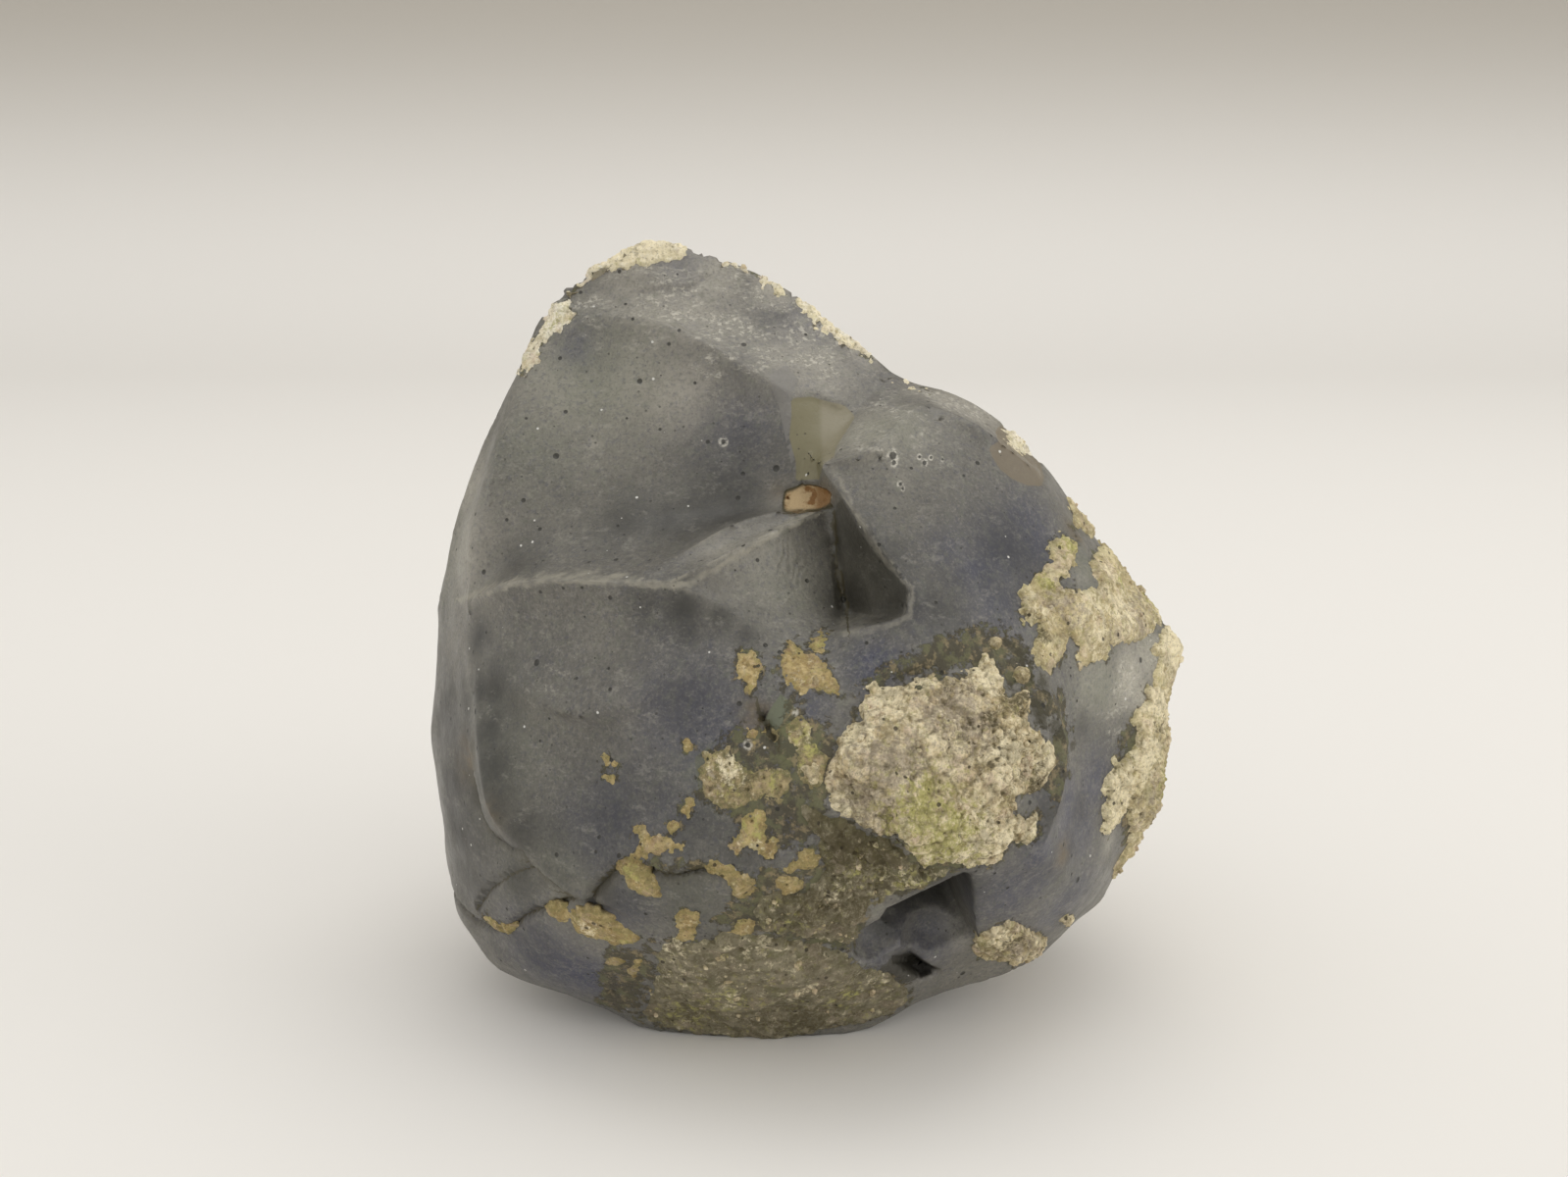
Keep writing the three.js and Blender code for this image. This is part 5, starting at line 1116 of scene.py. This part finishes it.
glassFinish = {
    "lightBody": (0.184, 0.174, 0.147, 1),
    "middle": (0.144, 0.137, 0.119, 1),
    "deep": (0.108, 0.104, 0.094, 1),
    "blue": (0.052, 0.057, 0.1, 1),
    "green": (0.182, 0.188, 0.142, 1),
    # light: paler glass, and the colour of painted light
    "light": (0.385, 0.36, 0.305, 1),
    # shade: painted shade
    "shade": (0.033, 0.032, 0.028, 1),
    "frost": (0.62, 0.59, 0.51, 1),
    "milk": (0.52, 0.49, 0.4, 1),
    # hollow: painted shade
    "hollow": (0.04, 0.037, 0.026, 1),
    # sootAndShadow: dark dross film, and painted shadow
    "sootAndShadow": (0.052, 0.046, 0.026, 1),
    "chipOlive": (0.19, 0.172, 0.102, 1),
    "chipTan": (0.235, 0.212, 0.145, 1),
    "strip": (0.195, 0.186, 0.17, 1),
    "oval": (0.19, 0.155, 0.105, 1),
    "plate": (0.13, 0.145, 0.09, 1),
    "scar": (0.12, 0.125, 0.08, 1),
    "stain": (0.15, 0.105, 0.048, 1),
    "nickCream": (0.5, 0.37, 0.205, 1),
    "nickAmber": (0.25, 0.13, 0.045, 1),
    # edge: the colour of the painted highlights
    "edge": (0.34, 0.318, 0.256, 1),
    "bubble": (0.024, 0.023, 0.018, 1),
    "glint": (0.62, 0.61, 0.57, 1),
    "film": (0.066, 0.056, 0.028, 1),
    "filmTan": (0.26, 0.205, 0.105, 1),
    "filmGreen": (0.13, 0.128, 0.055, 1),
    "rough": (0.33, 0.49),
    "tinted": [("light", 0.88), ("milk", 0.85), ("green", 0.7), ("blue", 0.9)],  # marks, and how strong
    "grain": [  # millimetres across, shift, colour, how strong
        (0.9, 0.07, "shade", 0.2), (1.0, 0.02, "light", 0.18), (0.6, 0.05, "blue", 0.3),
        (1.2, 0.09, "green", 0.35), (0.34, 0.03, "shade", 0.3), (0.36, 0.06, "light", 0.22)],
    "rings": 0.13,
    "bubbles": {"Density": 460.0, "Size": 0.13},
    "bigBubbles": {"Density": 210.0, "Size": 0.085, "Share": 0.55},
    "fineBubbles": {"Density": 1000.0, "Size": 0.16, "Share": 0.3},
    "glints": {"Density": 600.0, "Size": 0.1, "Share": 0.13},
    "openBubbles": [(10.9, -19, 76.6, 0.5), (11, -19, 75.8, 0.3), (14.3, -17, 76.2, 0.22),
        (14.9, -17, 75.5, 0.28), (15.8, -16, 76, 0.2), (17.3, -16, 75.7, 0.2), (11.7, -21, 73.4, 0.26),
        (12, -21, 72.9, 0.2), (-10.5, -8, 76.6, 0.4), (-1.3, -34, 49.2, 0.32), (-6.8, -37, 45.7, 0.34),
        (24, -20, 69, 0.2)],
    "wax": {"IOR": 1.52, "Specular IOR Level": 0.36, "Subsurface Weight": 0.12,
            "Subsurface Radius": (1.0, 0.9, 0.8), "Subsurface Scale": 0.0012},
    "bump": 0.35,  # millimetres
}


def crispMask(tree, name):  # an outline's inside, from its stored distance
    return remap(tree, readField(tree, name), 0.48, 0.52)


def offLines(tree, name, wobble):  # how far past the half width of the nearest crack or rim
    gap = calculate(tree, "ABSOLUTE", plus(tree, readField(tree, name + "Side"), wobble))
    return minus(tree, gap, readField(tree, name + "Half"))


def ringPattern(tree):
    rings = glassForm["ripples"]
    middle = tuple(part * mm for part in rings["middle"])
    gap = onVectors(tree, "DISTANCE", {0: objectSpace(tree), 1: middle}, "Value")
    gap = plus(tree, gap, remap(tree, noiseAt(tree, 3.0, 3.0), 0.3, 0.7, -0.4 * mm, 0.4 * mm))
    wave = calculate(tree, "SINE", times(tree, gap, 2 * math.pi / (rings["wave"] * mm)))
    return times(tree, wave, readField(tree, "ripple"))


# painted highlights along the ridges and the listed rims
def paintedEdgeHighlights(tree, color):
    noisy = noiseAt(tree, 2.2, 4.0)
    ridges = times(tree, remap(tree, readField(tree, "ridge"), 0.12, 0.8),
                   remap(tree, noisy, 0.36, 0.6, 0.15, 0.65))
    offRim = offLines(tree, "rim", remap(tree, noiseAt(tree, 1.6, 4.0, 0.6, 0.08), 0.3, 0.7, -0.25, 0.25))
    rim = times(tree, remap(tree, offRim, 0.4, -0.1, 0.0, 0.7),
                remap(tree, readField(tree, "rimHalf"), 0.02, 0.2))
    rim = times(tree, rim, remap(tree, noisy, 0.36, 0.6, 0.4, 1.0))
    return blendColors(tree, larger(tree, ridges, rim), color, glassFinish["edge"])


def flakedPlaces(tree, color):  # chips, painted shade inside the pocket and in the cave's notch, and the rusty nick
    look = glassFinish
    across = addNode(tree, "ShaderNodeSeparateXYZ", {"Vector": objectSpace(tree)}).outputs["X"]
    chip = blendColors(tree, remap(tree, across, 1.8 * mm, 2.6 * mm), look["chipOlive"], look["chipTan"])
    rusty = remap(tree, noiseAt(tree, 1.6, 3.0, 0.5, 0.04), 0.5, 0.6)
    nick = blendColors(tree, rusty, look["nickCream"], look["nickAmber"])
    nick = layered(tree, nick, [(across, 0.8 * mm, 2.0 * mm, 0.85, look["nickAmber"]),
                                (readField(tree, "nick"), 0.6, 0.52, 1.0, look["film"])])
    flakes = [("shadedWall", look["hollow"], 0.5), ("shadedSlot", look["hollow"], 0.85), ("strip", look["strip"], 0.7),
              ("chip", chip, 1.0), ("oval", look["oval"], 0.8), ("plate", look["plate"], 0.8),
              ("scar", look["scar"], 0.6), ("nick", nick, 1.0)]
    for name, tone, strength in flakes:
        color = blendColors(tree, times(tree, crispMask(tree, name), strength), color, tone)
    return color


def glassMaterial():
    material, tree, shader = startMaterial("waxy_glass")
    look = glassFinish
    body = {"Light": look["lightBody"], "Middle": look["middle"], "Deep": look["deep"], "Density": 55.0,
            "Detail": 6.0}
    color = useGroup(tree, mottle, body)["Color"]
    wander = noiseAt(tree, 6.0, 5.0)
    # light and milk are partly painted light; green and blue are the glass's own tints
    for name, strength in look["tinted"]:
        share = times(tree, readField(tree, name), strength)
        share = times(tree, share, remap(tree, wander, 0.28, 0.6, 0.65, 1.0), clamp=True)
        color = blendColors(tree, share, color, look[name])
    color = layered(tree, color, [(noiseAt(tree, wave, 4.0, 0.62, shift), 0.5, 0.68, strength, look[tone])
                                  for wave, shift, tone, strength in look["grain"]])
    # painted shade where the shade marks lie
    shade = times(tree, readField(tree, "shade"), remap(tree, wander, 0.28, 0.6, 0.66, 0.88))
    color = blendColors(tree, shade, color, look["shade"])
    # the ripple arcs get painted highlight and painted shade besides their bump
    rings = ringPattern(tree)
    color = layered(tree, color, [(rings, 0.1, 0.9, look["rings"], look["light"]),
                                  (rings, -0.1, -0.9, look["rings"], look["shade"])])
    fine = noiseAt(tree, 0.5, 4.0, 0.7, 0.01, 1.6, 0.5)
    streaks = noiseAt(tree, 1.8, 4.0, 0.6, 0.03, 2.4, 0.5)
    cluster = remap(tree, streaks, 0.35, 0.65, -0.55, 0.35)
    frost = remap(tree, plus(tree, readField(tree, "frost"), cluster), 0.15, 0.9)
    specks = times(tree, frost, remap(tree, fine, 0.46, 0.6, 0.15, 1.0))
    color = blendColors(tree, times(tree, specks, 0.7), color, look["frost"])
    color = paintedEdgeHighlights(tree, color)
    stain = times(tree, readField(tree, "stain"), remap(tree, streaks, 0.35, 0.65, 0.3, 1.0))
    color = blendColors(tree, stain, color, look["stain"])
    color = flakedPlaces(tree, color)

    patchy = noiseAt(tree, 1.2, 5.0, 0.68)  # dross in a thin film and in the cracks, dark dross film, and painted shadow under the crust's edge
    dirt = larger(tree, readField(tree, "dirt"), times(tree, readField(tree, "fringe"), 0.6))
    film = remap(tree, plus(tree, dirt, remap(tree, patchy, 0.3, 0.7, -0.65, 0.25)), 0.3, 0.6)
    offCrack = offLines(tree, "crack", remap(tree, noiseAt(tree, 1.8, 4.0, 0.6, 0.05), 0.3, 0.7, -0.3, 0.3))
    # the dark crack line is crack dirt and painted shade, joined by the painted shade beside set-back cracks
    crackDirtAndShade = times(tree, remap(tree, offCrack, 0.12, -0.05),
                      remap(tree, readField(tree, "crackHalf"), 0.02, 0.12))
    crackDirtAndShade = larger(tree, crackDirtAndShade, times(tree, readField(tree, "crease"), 0.6))
    tanShare = remap(tree, noiseAt(tree, 1.3, 5.0, 0.7, 0.02), 0.5, 0.6)
    filmTone = blendColors(tree, tanShare, look["film"], look["filmTan"])
    greenShare = remap(tree, noiseAt(tree, 2.3, 5.0, 0.65, 0.09), 0.5, 0.6)
    filmTone = blendColors(tree, greenShare, filmTone, look["filmGreen"])
    color = blendColors(tree, times(tree, film, 0.75), color, filmTone)
    sootAndShadow = plus(tree, readField(tree, "sootAndShadow"), remap(tree, patchy, 0.35, 0.65, -0.5, 0.2))
    color = layered(tree, color, [(sootAndShadow, 0.1, 0.7, 0.92, look["sootAndShadow"])])
    color = blendColors(tree, times(tree, crackDirtAndShade, 0.85), color, look["film"])

    sparse = remap(tree, noiseAt(tree, 9.0, 3.0, 0.5, 0.06), 0.38, 0.62, 0.25, 0.85)
    bubbles = useGroup(tree, speckle, {**look["bubbles"], "Share": sparse})
    bigBubbles = useGroup(tree, speckle, look["bigBubbles"])
    fineBubbles = useGroup(tree, speckle, look["fineBubbles"])
    dark = larger(tree, bubbles["Mask"], times(tree, fineBubbles["Mask"], 0.6))
    dark = larger(tree, dark, bigBubbles["Mask"])
    for *place, size in look["openBubbles"]:
        pit = useGroup(tree, openBubble, {"Place": [part * mm for part in place], "Size": size * mm})
        dark = larger(tree, dark, pit["Hole"])
        rim = times(tree, pit["Rim"], remap(tree, fine, 0.4, 0.6, 0.0, 0.7))
        color = blendColors(tree, rim, color, look["frost"])
    color = blendColors(tree, times(tree, dark, 0.85), color, look["bubble"])
    color = blendColors(tree, useGroup(tree, speckle, look["glints"])["Mask"], color, look["glint"])
    dirty = larger(tree, film, larger(tree, specks, crispMask(tree, "nick")))
    rough = remap(tree, noiseAt(tree, 3.5, 5.0), 0.3, 0.7, *look["rough"])
    rough = plus(tree, rough, times(tree, dirty, 0.35), clamp=True)
    relief = times(tree, noiseAt(tree, 1.4, 6.0, 0.6), 0.35)
    relief = plus(tree, relief, times(tree, rings, 0.1))
    for share, dots in ((0.5, bubbles), (0.6, bigBubbles), (0.25, fineBubbles)):
        relief = minus(tree, relief, times(tree, dots["Height"], share))
    relief = plus(tree, relief, times(tree, dirty, times(tree, noiseAt(tree, 0.6, 4.0, 0.7), 0.8)))
    bump = addNode(tree, "ShaderNodeBump", {"Height": relief, "Distance": look["bump"] * mm, "Strength": 0.8})
    feed(tree, shader, {"Base Color": color, "Roughness": rough, "Normal": bump.outputs["Normal"]})
    feed(tree, shader, look["wax"])
    return material


crustFinish = {
    "pale": (0.93, 0.83, 0.58, 1),
    "grey": (0.41, 0.345, 0.26, 1),
    "green": (0.45, 0.425, 0.14, 1),
    "dark": (0.098, 0.08, 0.038, 1),
    "hole": (0.04, 0.032, 0.018, 1),
    "tintShifts": (0.0, 0.02, 0.03, 0.07),  # so that no two tints break up alike
}
crustLooks = {
    "furnace_crust": {"light": (0.9, 0.79, 0.54, 1), "middle": (0.64, 0.52, 0.31, 1),
        "deep": (0.29, 0.228, 0.112, 1), "blush": (0.64, 0.5, 0.39, 1), "moss": (0.33, 0.305, 0.13, 1),
        "density": 330.0, "pits": 0.3, "streaks": 0.15, "sandy": 0.6, "seams": 0.5, "stained": 0.15,
        "bump": 0.42},
    "bleached_crust": {"light": (0.87, 0.77, 0.49, 1), "middle": (0.57, 0.47, 0.255, 1),
        "deep": (0.4, 0.32, 0.17, 1), "blush": (0.66, 0.53, 0.39, 1), "moss": (0.4, 0.37, 0.18, 1),
        "density": 260.0, "pits": 0.25, "streaks": 0.15, "sandy": 0.5, "seams": 0.35, "stained": 0.3,
        "bump": 0.36},
    "dun_crust": {"light": (0.32, 0.285, 0.195, 1), "middle": (0.205, 0.18, 0.115, 1),
        "deep": (0.105, 0.092, 0.052, 1), "blush": (0.29, 0.235, 0.165, 1), "moss": (0.14, 0.135, 0.06, 1),
        "density": 230.0, "pits": 0.3, "streaks": 0.1, "sandy": 0.4, "seams": 0.4, "stained": 0.4,
        "bump": 0.4},
    "scab_crust": {"light": (0.59, 0.46, 0.23, 1), "middle": (0.375, 0.275, 0.112, 1),
        "deep": (0.24, 0.165, 0.072, 1), "blush": (0.44, 0.315, 0.22, 1), "moss": (0.26, 0.22, 0.085, 1),
        "density": 500.0, "pits": 0.5, "streaks": 0.15, "sandy": 0.5, "seams": 0.1, "stained": 0.85,
        "bump": 0.3},
    "lichen_crust": {"light": (0.48, 0.38, 0.21, 1), "middle": (0.27, 0.212, 0.108, 1),
        "deep": (0.12, 0.108, 0.052, 1), "blush": (0.38, 0.28, 0.18, 1), "moss": (0.16, 0.16, 0.06, 1),
        "density": 600.0, "pits": 0.4, "streaks": 0.1, "sandy": 0.5, "seams": 0.15, "stained": 0.6,
        "bump": 0.22},
    "chalky_crust": {"light": (0.98, 0.94, 0.82, 1), "middle": (0.94, 0.86, 0.67, 1),
        "deep": (0.62, 0.53, 0.35, 1), "blush": (0.7, 0.56, 0.45, 1), "moss": (0.43, 0.4, 0.2, 1),
        "density": 500.0, "pits": 0.2, "streaks": 0.15, "sandy": 0.4, "seams": 0.2, "stained": 0.3,
        "bump": 0.3},
    "crust_crumbs": {"light": (0.8, 0.7, 0.49, 1), "middle": (0.56, 0.465, 0.29, 1),
        "deep": (0.32, 0.25, 0.13, 1), "blush": (0.56, 0.42, 0.29, 1), "moss": (0.32, 0.31, 0.15, 1),
        "density": 700.0, "pits": 0.0, "streaks": 0.2, "sandy": 0.3, "seams": 0.0, "stained": 0.0,
        "bump": 0.3},
}


def crustMaterial(name, look):
    material, tree, shader = startMaterial(name)
    shared = crustFinish
    body = {"Light": look["light"], "Middle": look["middle"], "Deep": look["deep"],
            "Density": look["density"], "Detail": 8.0}
    color = useGroup(tree, mottle, body)["Color"]
    tone = readField(tree, "tone")
    streaks = noiseAt(tree, 0.9, 4.0, 0.65, 0.06, stretch=3.0)
    color = layered(tree, color, [
        (noiseAt(tree, 3.2, 4.0, 0.6, 0.05), 0.5, 0.62, 0.7, look["blush"]),
        (noiseAt(tree, 2.6, 5.0, 0.65, 0.08), 0.52, 0.64, 0.7, look["moss"]),
        (tone, 0.6, 0.85, 0.5, look["light"]), (tone, 0.4, 0.15, 0.45, look["deep"]),
        (streaks, 0.46, 0.36, look["streaks"], look["deep"]),
        (streaks, 0.54, 0.64, look["streaks"], look["light"]),
    ])
    for tint, shift in zip(tints, shared["tintShifts"]):
        broken = remap(tree, noiseAt(tree, 1.1, 6.0, 0.75, shift), 0.3, 0.7, -0.7, 0.35)
        share = plus(tree, readField(tree, tint), broken)
        color = layered(tree, color, [(share, 0.0, 0.6, 0.9, shared[tint])])
    border = times(tree, readField(tree, "border"), remap(tree, streaks, 0.4, 0.6, 0.2, 1.0))
    color = blendColors(tree, times(tree, border, look["stained"]), color, look["moss"])
    sandy = noiseAt(tree, 0.8, 5.0, 0.75, 0.04)
    color = layered(tree, color, [(sandy, 0.53, 0.66, look["sandy"], look["light"]),
                                  (sandy, 0.47, 0.34, look["sandy"], look["deep"])])
    color = blendColors(tree, times(tree, readField(tree, "seam"), look["seams"]), color, shared["dark"])
    fine = noiseAt(tree, 0.36, 4.0, 0.7, 0.01)
    # fine light and dark grain, and painted shade in the dips
    color = layered(tree, color, [(fine, 0.54, 0.7, 0.5, look["light"]),
                                  (fine, 0.46, 0.3, 0.65, shared["dark"]),
                                  (readField(tree, "relief"), 0.42, 0.1, 0.7, shared["dark"])])
    pits = useGroup(tree, speckle, {"Density": 800.0, "Size": 0.2, "Share": look["pits"]})
    color = blendColors(tree, times(tree, pits["Mask"], 0.8), color, shared["hole"])
    height = plus(tree, times(tree, fine, 0.5), times(tree, noiseAt(tree, 1.0, 6.0, 0.7), 0.8))
    height = minus(tree, height, times(tree, pits["Height"], 0.6))
    bump = addNode(tree, "ShaderNodeBump", {"Height": height, "Distance": look["bump"] * mm, "Strength": 1.0})
    feed(tree, shader, {"Base Color": color, "Roughness": remap(tree, fine, 0.3, 0.7, 0.78, 0.96),
                        "Normal": bump.outputs["Normal"]})
    return material


glass.data.materials.append(glassMaterial())
crustMaterials = {name: crustMaterial(name, look) for name, look in crustLooks.items()}
for piece, kind in zip(crustPieces, crustKinds.values()):
    piece.data.materials.append(crustMaterials[kind["finish"]])
print("finishes made")


crumbs = {  # loose crumbs that stand on the crust
    "perSquareMetre": 1.5e6,
    "smallest": 0.16,  # millimetres
    "largest": 0.62,
    "mostlySmall": 2.4,
    "thinnest": (0.7, 0.55, 0.5),  # their proportions
    "thickest": (1.3, 1.1, 0.9),
    "uneven": 0.25,
    "seed": 11,
}


def crumbTree(finish):
    tree = bpy.data.node_groups.new("crumbs", "GeometryNodeTree")
    sockets = [("Geometry", "INPUT", "Geometry"), ("Density", "INPUT", "Float"),
               ("Smallest", "INPUT", "Float"), ("Largest", "INPUT", "Float"), ("Seed", "INPUT", "Int"),
               ("Geometry", "OUTPUT", "Geometry")]
    for name, side, kind in sockets:
        tree.interface.new_socket(name, in_out=side, socket_type="NodeSocket" + kind)
    given = tree.nodes.new("NodeGroupInput").outputs
    cover = addNode(tree, "GeometryNodeInputNamedAttribute", {"Name": "cover"}, data_type="FLOAT")
    density = times(tree, cover.outputs["Attribute"], given["Density"])
    scattered = addNode(tree, "GeometryNodeDistributePointsOnFaces",
                        {"Mesh": given["Geometry"], "Density": density, "Seed": given["Seed"]})
    stone = addNode(tree, "GeometryNodeMeshIcoSphere", {"Radius": 1.0, "Subdivisions": 1})
    form = addNode(tree, "FunctionNodeRandomValue", {"Min": crumbs["thinnest"], "Max": crumbs["thickest"]},
                   data_type="FLOAT_VECTOR")
    chance = addNode(tree, "FunctionNodeRandomValue", {"Seed": 5}, data_type="FLOAT")
    skew = calculate(tree, "POWER", chance.outputs[1], crumbs["mostlySmall"])
    reach = addNode(tree, "ShaderNodeMapRange",
                    {"Value": skew, "To Min": given["Smallest"], "To Max": given["Largest"]}).outputs[0]
    turn = addNode(tree, "FunctionNodeRandomValue", {"Max": (6.283, 6.283, 6.283), "Seed": 9},
                   data_type="FLOAT_VECTOR")
    placed = addNode(tree, "GeometryNodeInstanceOnPoints",
                     {"Points": scattered.outputs["Points"], "Instance": stone.outputs["Mesh"],
                      "Rotation": turn.outputs[0],
                      "Scale": onVectors(tree, "SCALE", {0: form.outputs[0], "Scale": reach})})
    real = addNode(tree, "GeometryNodeRealizeInstances", {"Geometry": placed.outputs["Instances"]})
    jitter = addNode(tree, "ShaderNodeTexNoise", {"Scale": 2600.0, "Detail": 1.0}).outputs["Color"]
    offset = onVectors(tree, "SUBTRACT", {0: jitter, 1: (0.5, 0.5, 0.5)})
    offset = onVectors(tree, "SCALE", {0: offset, "Scale": crumbs["uneven"] * mm})
    uneven = addNode(tree, "GeometryNodeSetPosition",
                     {"Geometry": real.outputs["Geometry"], "Offset": offset})
    smooth = addNode(tree, "GeometryNodeSetShadeSmooth", {"Geometry": uneven.outputs["Geometry"]})
    coloured = addNode(tree, "GeometryNodeSetMaterial",
                       {"Geometry": smooth.outputs["Geometry"], "Material": finish})
    feed(tree, tree.nodes.new("NodeGroupOutput"), {"Geometry": coloured.outputs["Geometry"]})
    return tree


def scatterCrumbs(name, carrier, tree, seed):
    draft = placeObject(name + "_draft", carrier.data.copy())
    modifier = draft.modifiers.new("crumbs", "NODES")
    modifier.node_group = tree
    values = {"Density": crumbs["perSquareMetre"], "Smallest": crumbs["smallest"] * mm,
              "Largest": crumbs["largest"] * mm, "Seed": seed}
    for item in tree.interface.items_tree:
        if item.in_out == "INPUT" and item.name in values:
            modifier[item.identifier] = values[item.name]
    mesh = evaluated(draft)
    mesh.name = name
    bpy.data.objects.remove(draft)
    return placeObject(name, mesh)


crumbNodes = crumbTree(crustMaterials["crust_crumbs"])
crumbPieces = []
for index, carrier in enumerate(crustPieces):
    crumbName = carrier.name.split("_")[0] + "_crumbs"
    crumbPieces.append(scatterCrumbs(crumbName, carrier, crumbNodes, crumbs["seed"] + index))
    print(crumbName, len(crumbPieces[-1].data.polygons), "faces")


studio = {  # in metres
    "floorColor": (0.875, 0.855, 0.82, 1),
    "paintedUpperShade": (0.47, 0.44, 0.39, 1),
    "shadeHeights": (0.02, 0.27),
    "halfWidth": 2.0,
    "front": -1.6,
    "bendStart": 0.75,
    "bendRadius": 0.5,
    "bendSteps": 12,
    "top": 1.8,
    "sky": 0.87,
    "skyColor": (1.0, 0.985, 0.96, 1),
    "lights": {
        "key": {"place": (0.12, 0.2, 0.9), "aim": (0, 0, 0.04), "size": (0.7, 0.7), "power": 1.6,
                "color": (1.0, 0.985, 0.96)},
        "front": {"place": (0.95, -0.35, 0.4), "aim": (0.08, 0, 0.0), "size": (0.6, 0.5), "power": 1.65,
                  "color": (1.0, 0.985, 0.96)},
        "side": {"place": (-0.7, 0.15, 0.3), "aim": (0, 0, 0.05), "size": (0.4, 0.5), "power": 0.12,
                 "color": (1.0, 0.99, 0.97)},
    },
}


def backdrop():
    start, radius = studio["bendStart"], studio["bendRadius"]
    profile = [(studio["front"], 0.0)]
    for step in range(studio["bendSteps"] + 1):
        angle = math.radians(90 * step / studio["bendSteps"])
        profile.append((start + radius * math.sin(angle), radius - radius * math.cos(angle)))
    profile.append((start + radius, studio["top"]))
    bm = bmesh.new()
    ends = (-studio["halfWidth"], studio["halfWidth"])
    rows = [[bm.verts.new((x, y, z)) for y, z in profile] for x in ends]
    for i in range(len(profile) - 1):
        bm.faces.new((rows[0][i], rows[1][i], rows[1][i + 1], rows[0][i + 1]))
    mesh = bpy.data.meshes.new("backdrop")
    bm.to_mesh(mesh)
    bm.free()
    mesh.shade_smooth()
    material, tree, shader = startMaterial("pale_cloth")
    # the cloth is painted darker upward, as painted shade where less light reaches
    height = addNode(tree, "ShaderNodeSeparateXYZ", {"Vector": objectSpace(tree)}).outputs["Z"]
    share = remap(tree, height, *studio["shadeHeights"])
    feed(tree, shader, {"Base Color": blendColors(tree, share, studio["floorColor"], studio["paintedUpperShade"]),
                        "Roughness": 0.95})
    mesh.materials.append(material)
    placeObject("backdrop", mesh)


def softLight(name, kind):
    data = bpy.data.lights.new(name, "AREA")
    data.shape = "RECTANGLE"
    data.size, data.size_y = kind["size"]
    data.energy = kind["power"]
    data.color = kind["color"]
    light = placeObject(name, data)
    light.location = kind["place"]
    light.rotation_euler = (Vector(kind["aim"]) - Vector(kind["place"])).to_track_quat("-Z", "Y").to_euler()


backdrop()
for lightName, lightKind in studio["lights"].items():
    softLight(lightName, lightKind)
world = bpy.data.worlds.new("soft")
world.use_nodes = True
skyInputs = {"Color": studio["skyColor"], "Strength": studio["sky"]}
feed(world.node_tree, world.node_tree.nodes["Background"], skyInputs)
bpy.context.scene.world = world
bpy.context.scene.view_settings.view_transform = "Standard"
print("floor and light set")

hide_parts(chunkNode)
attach(glass, "root")
for piece in crustPieces + crumbPieces:
    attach(piece, "root")
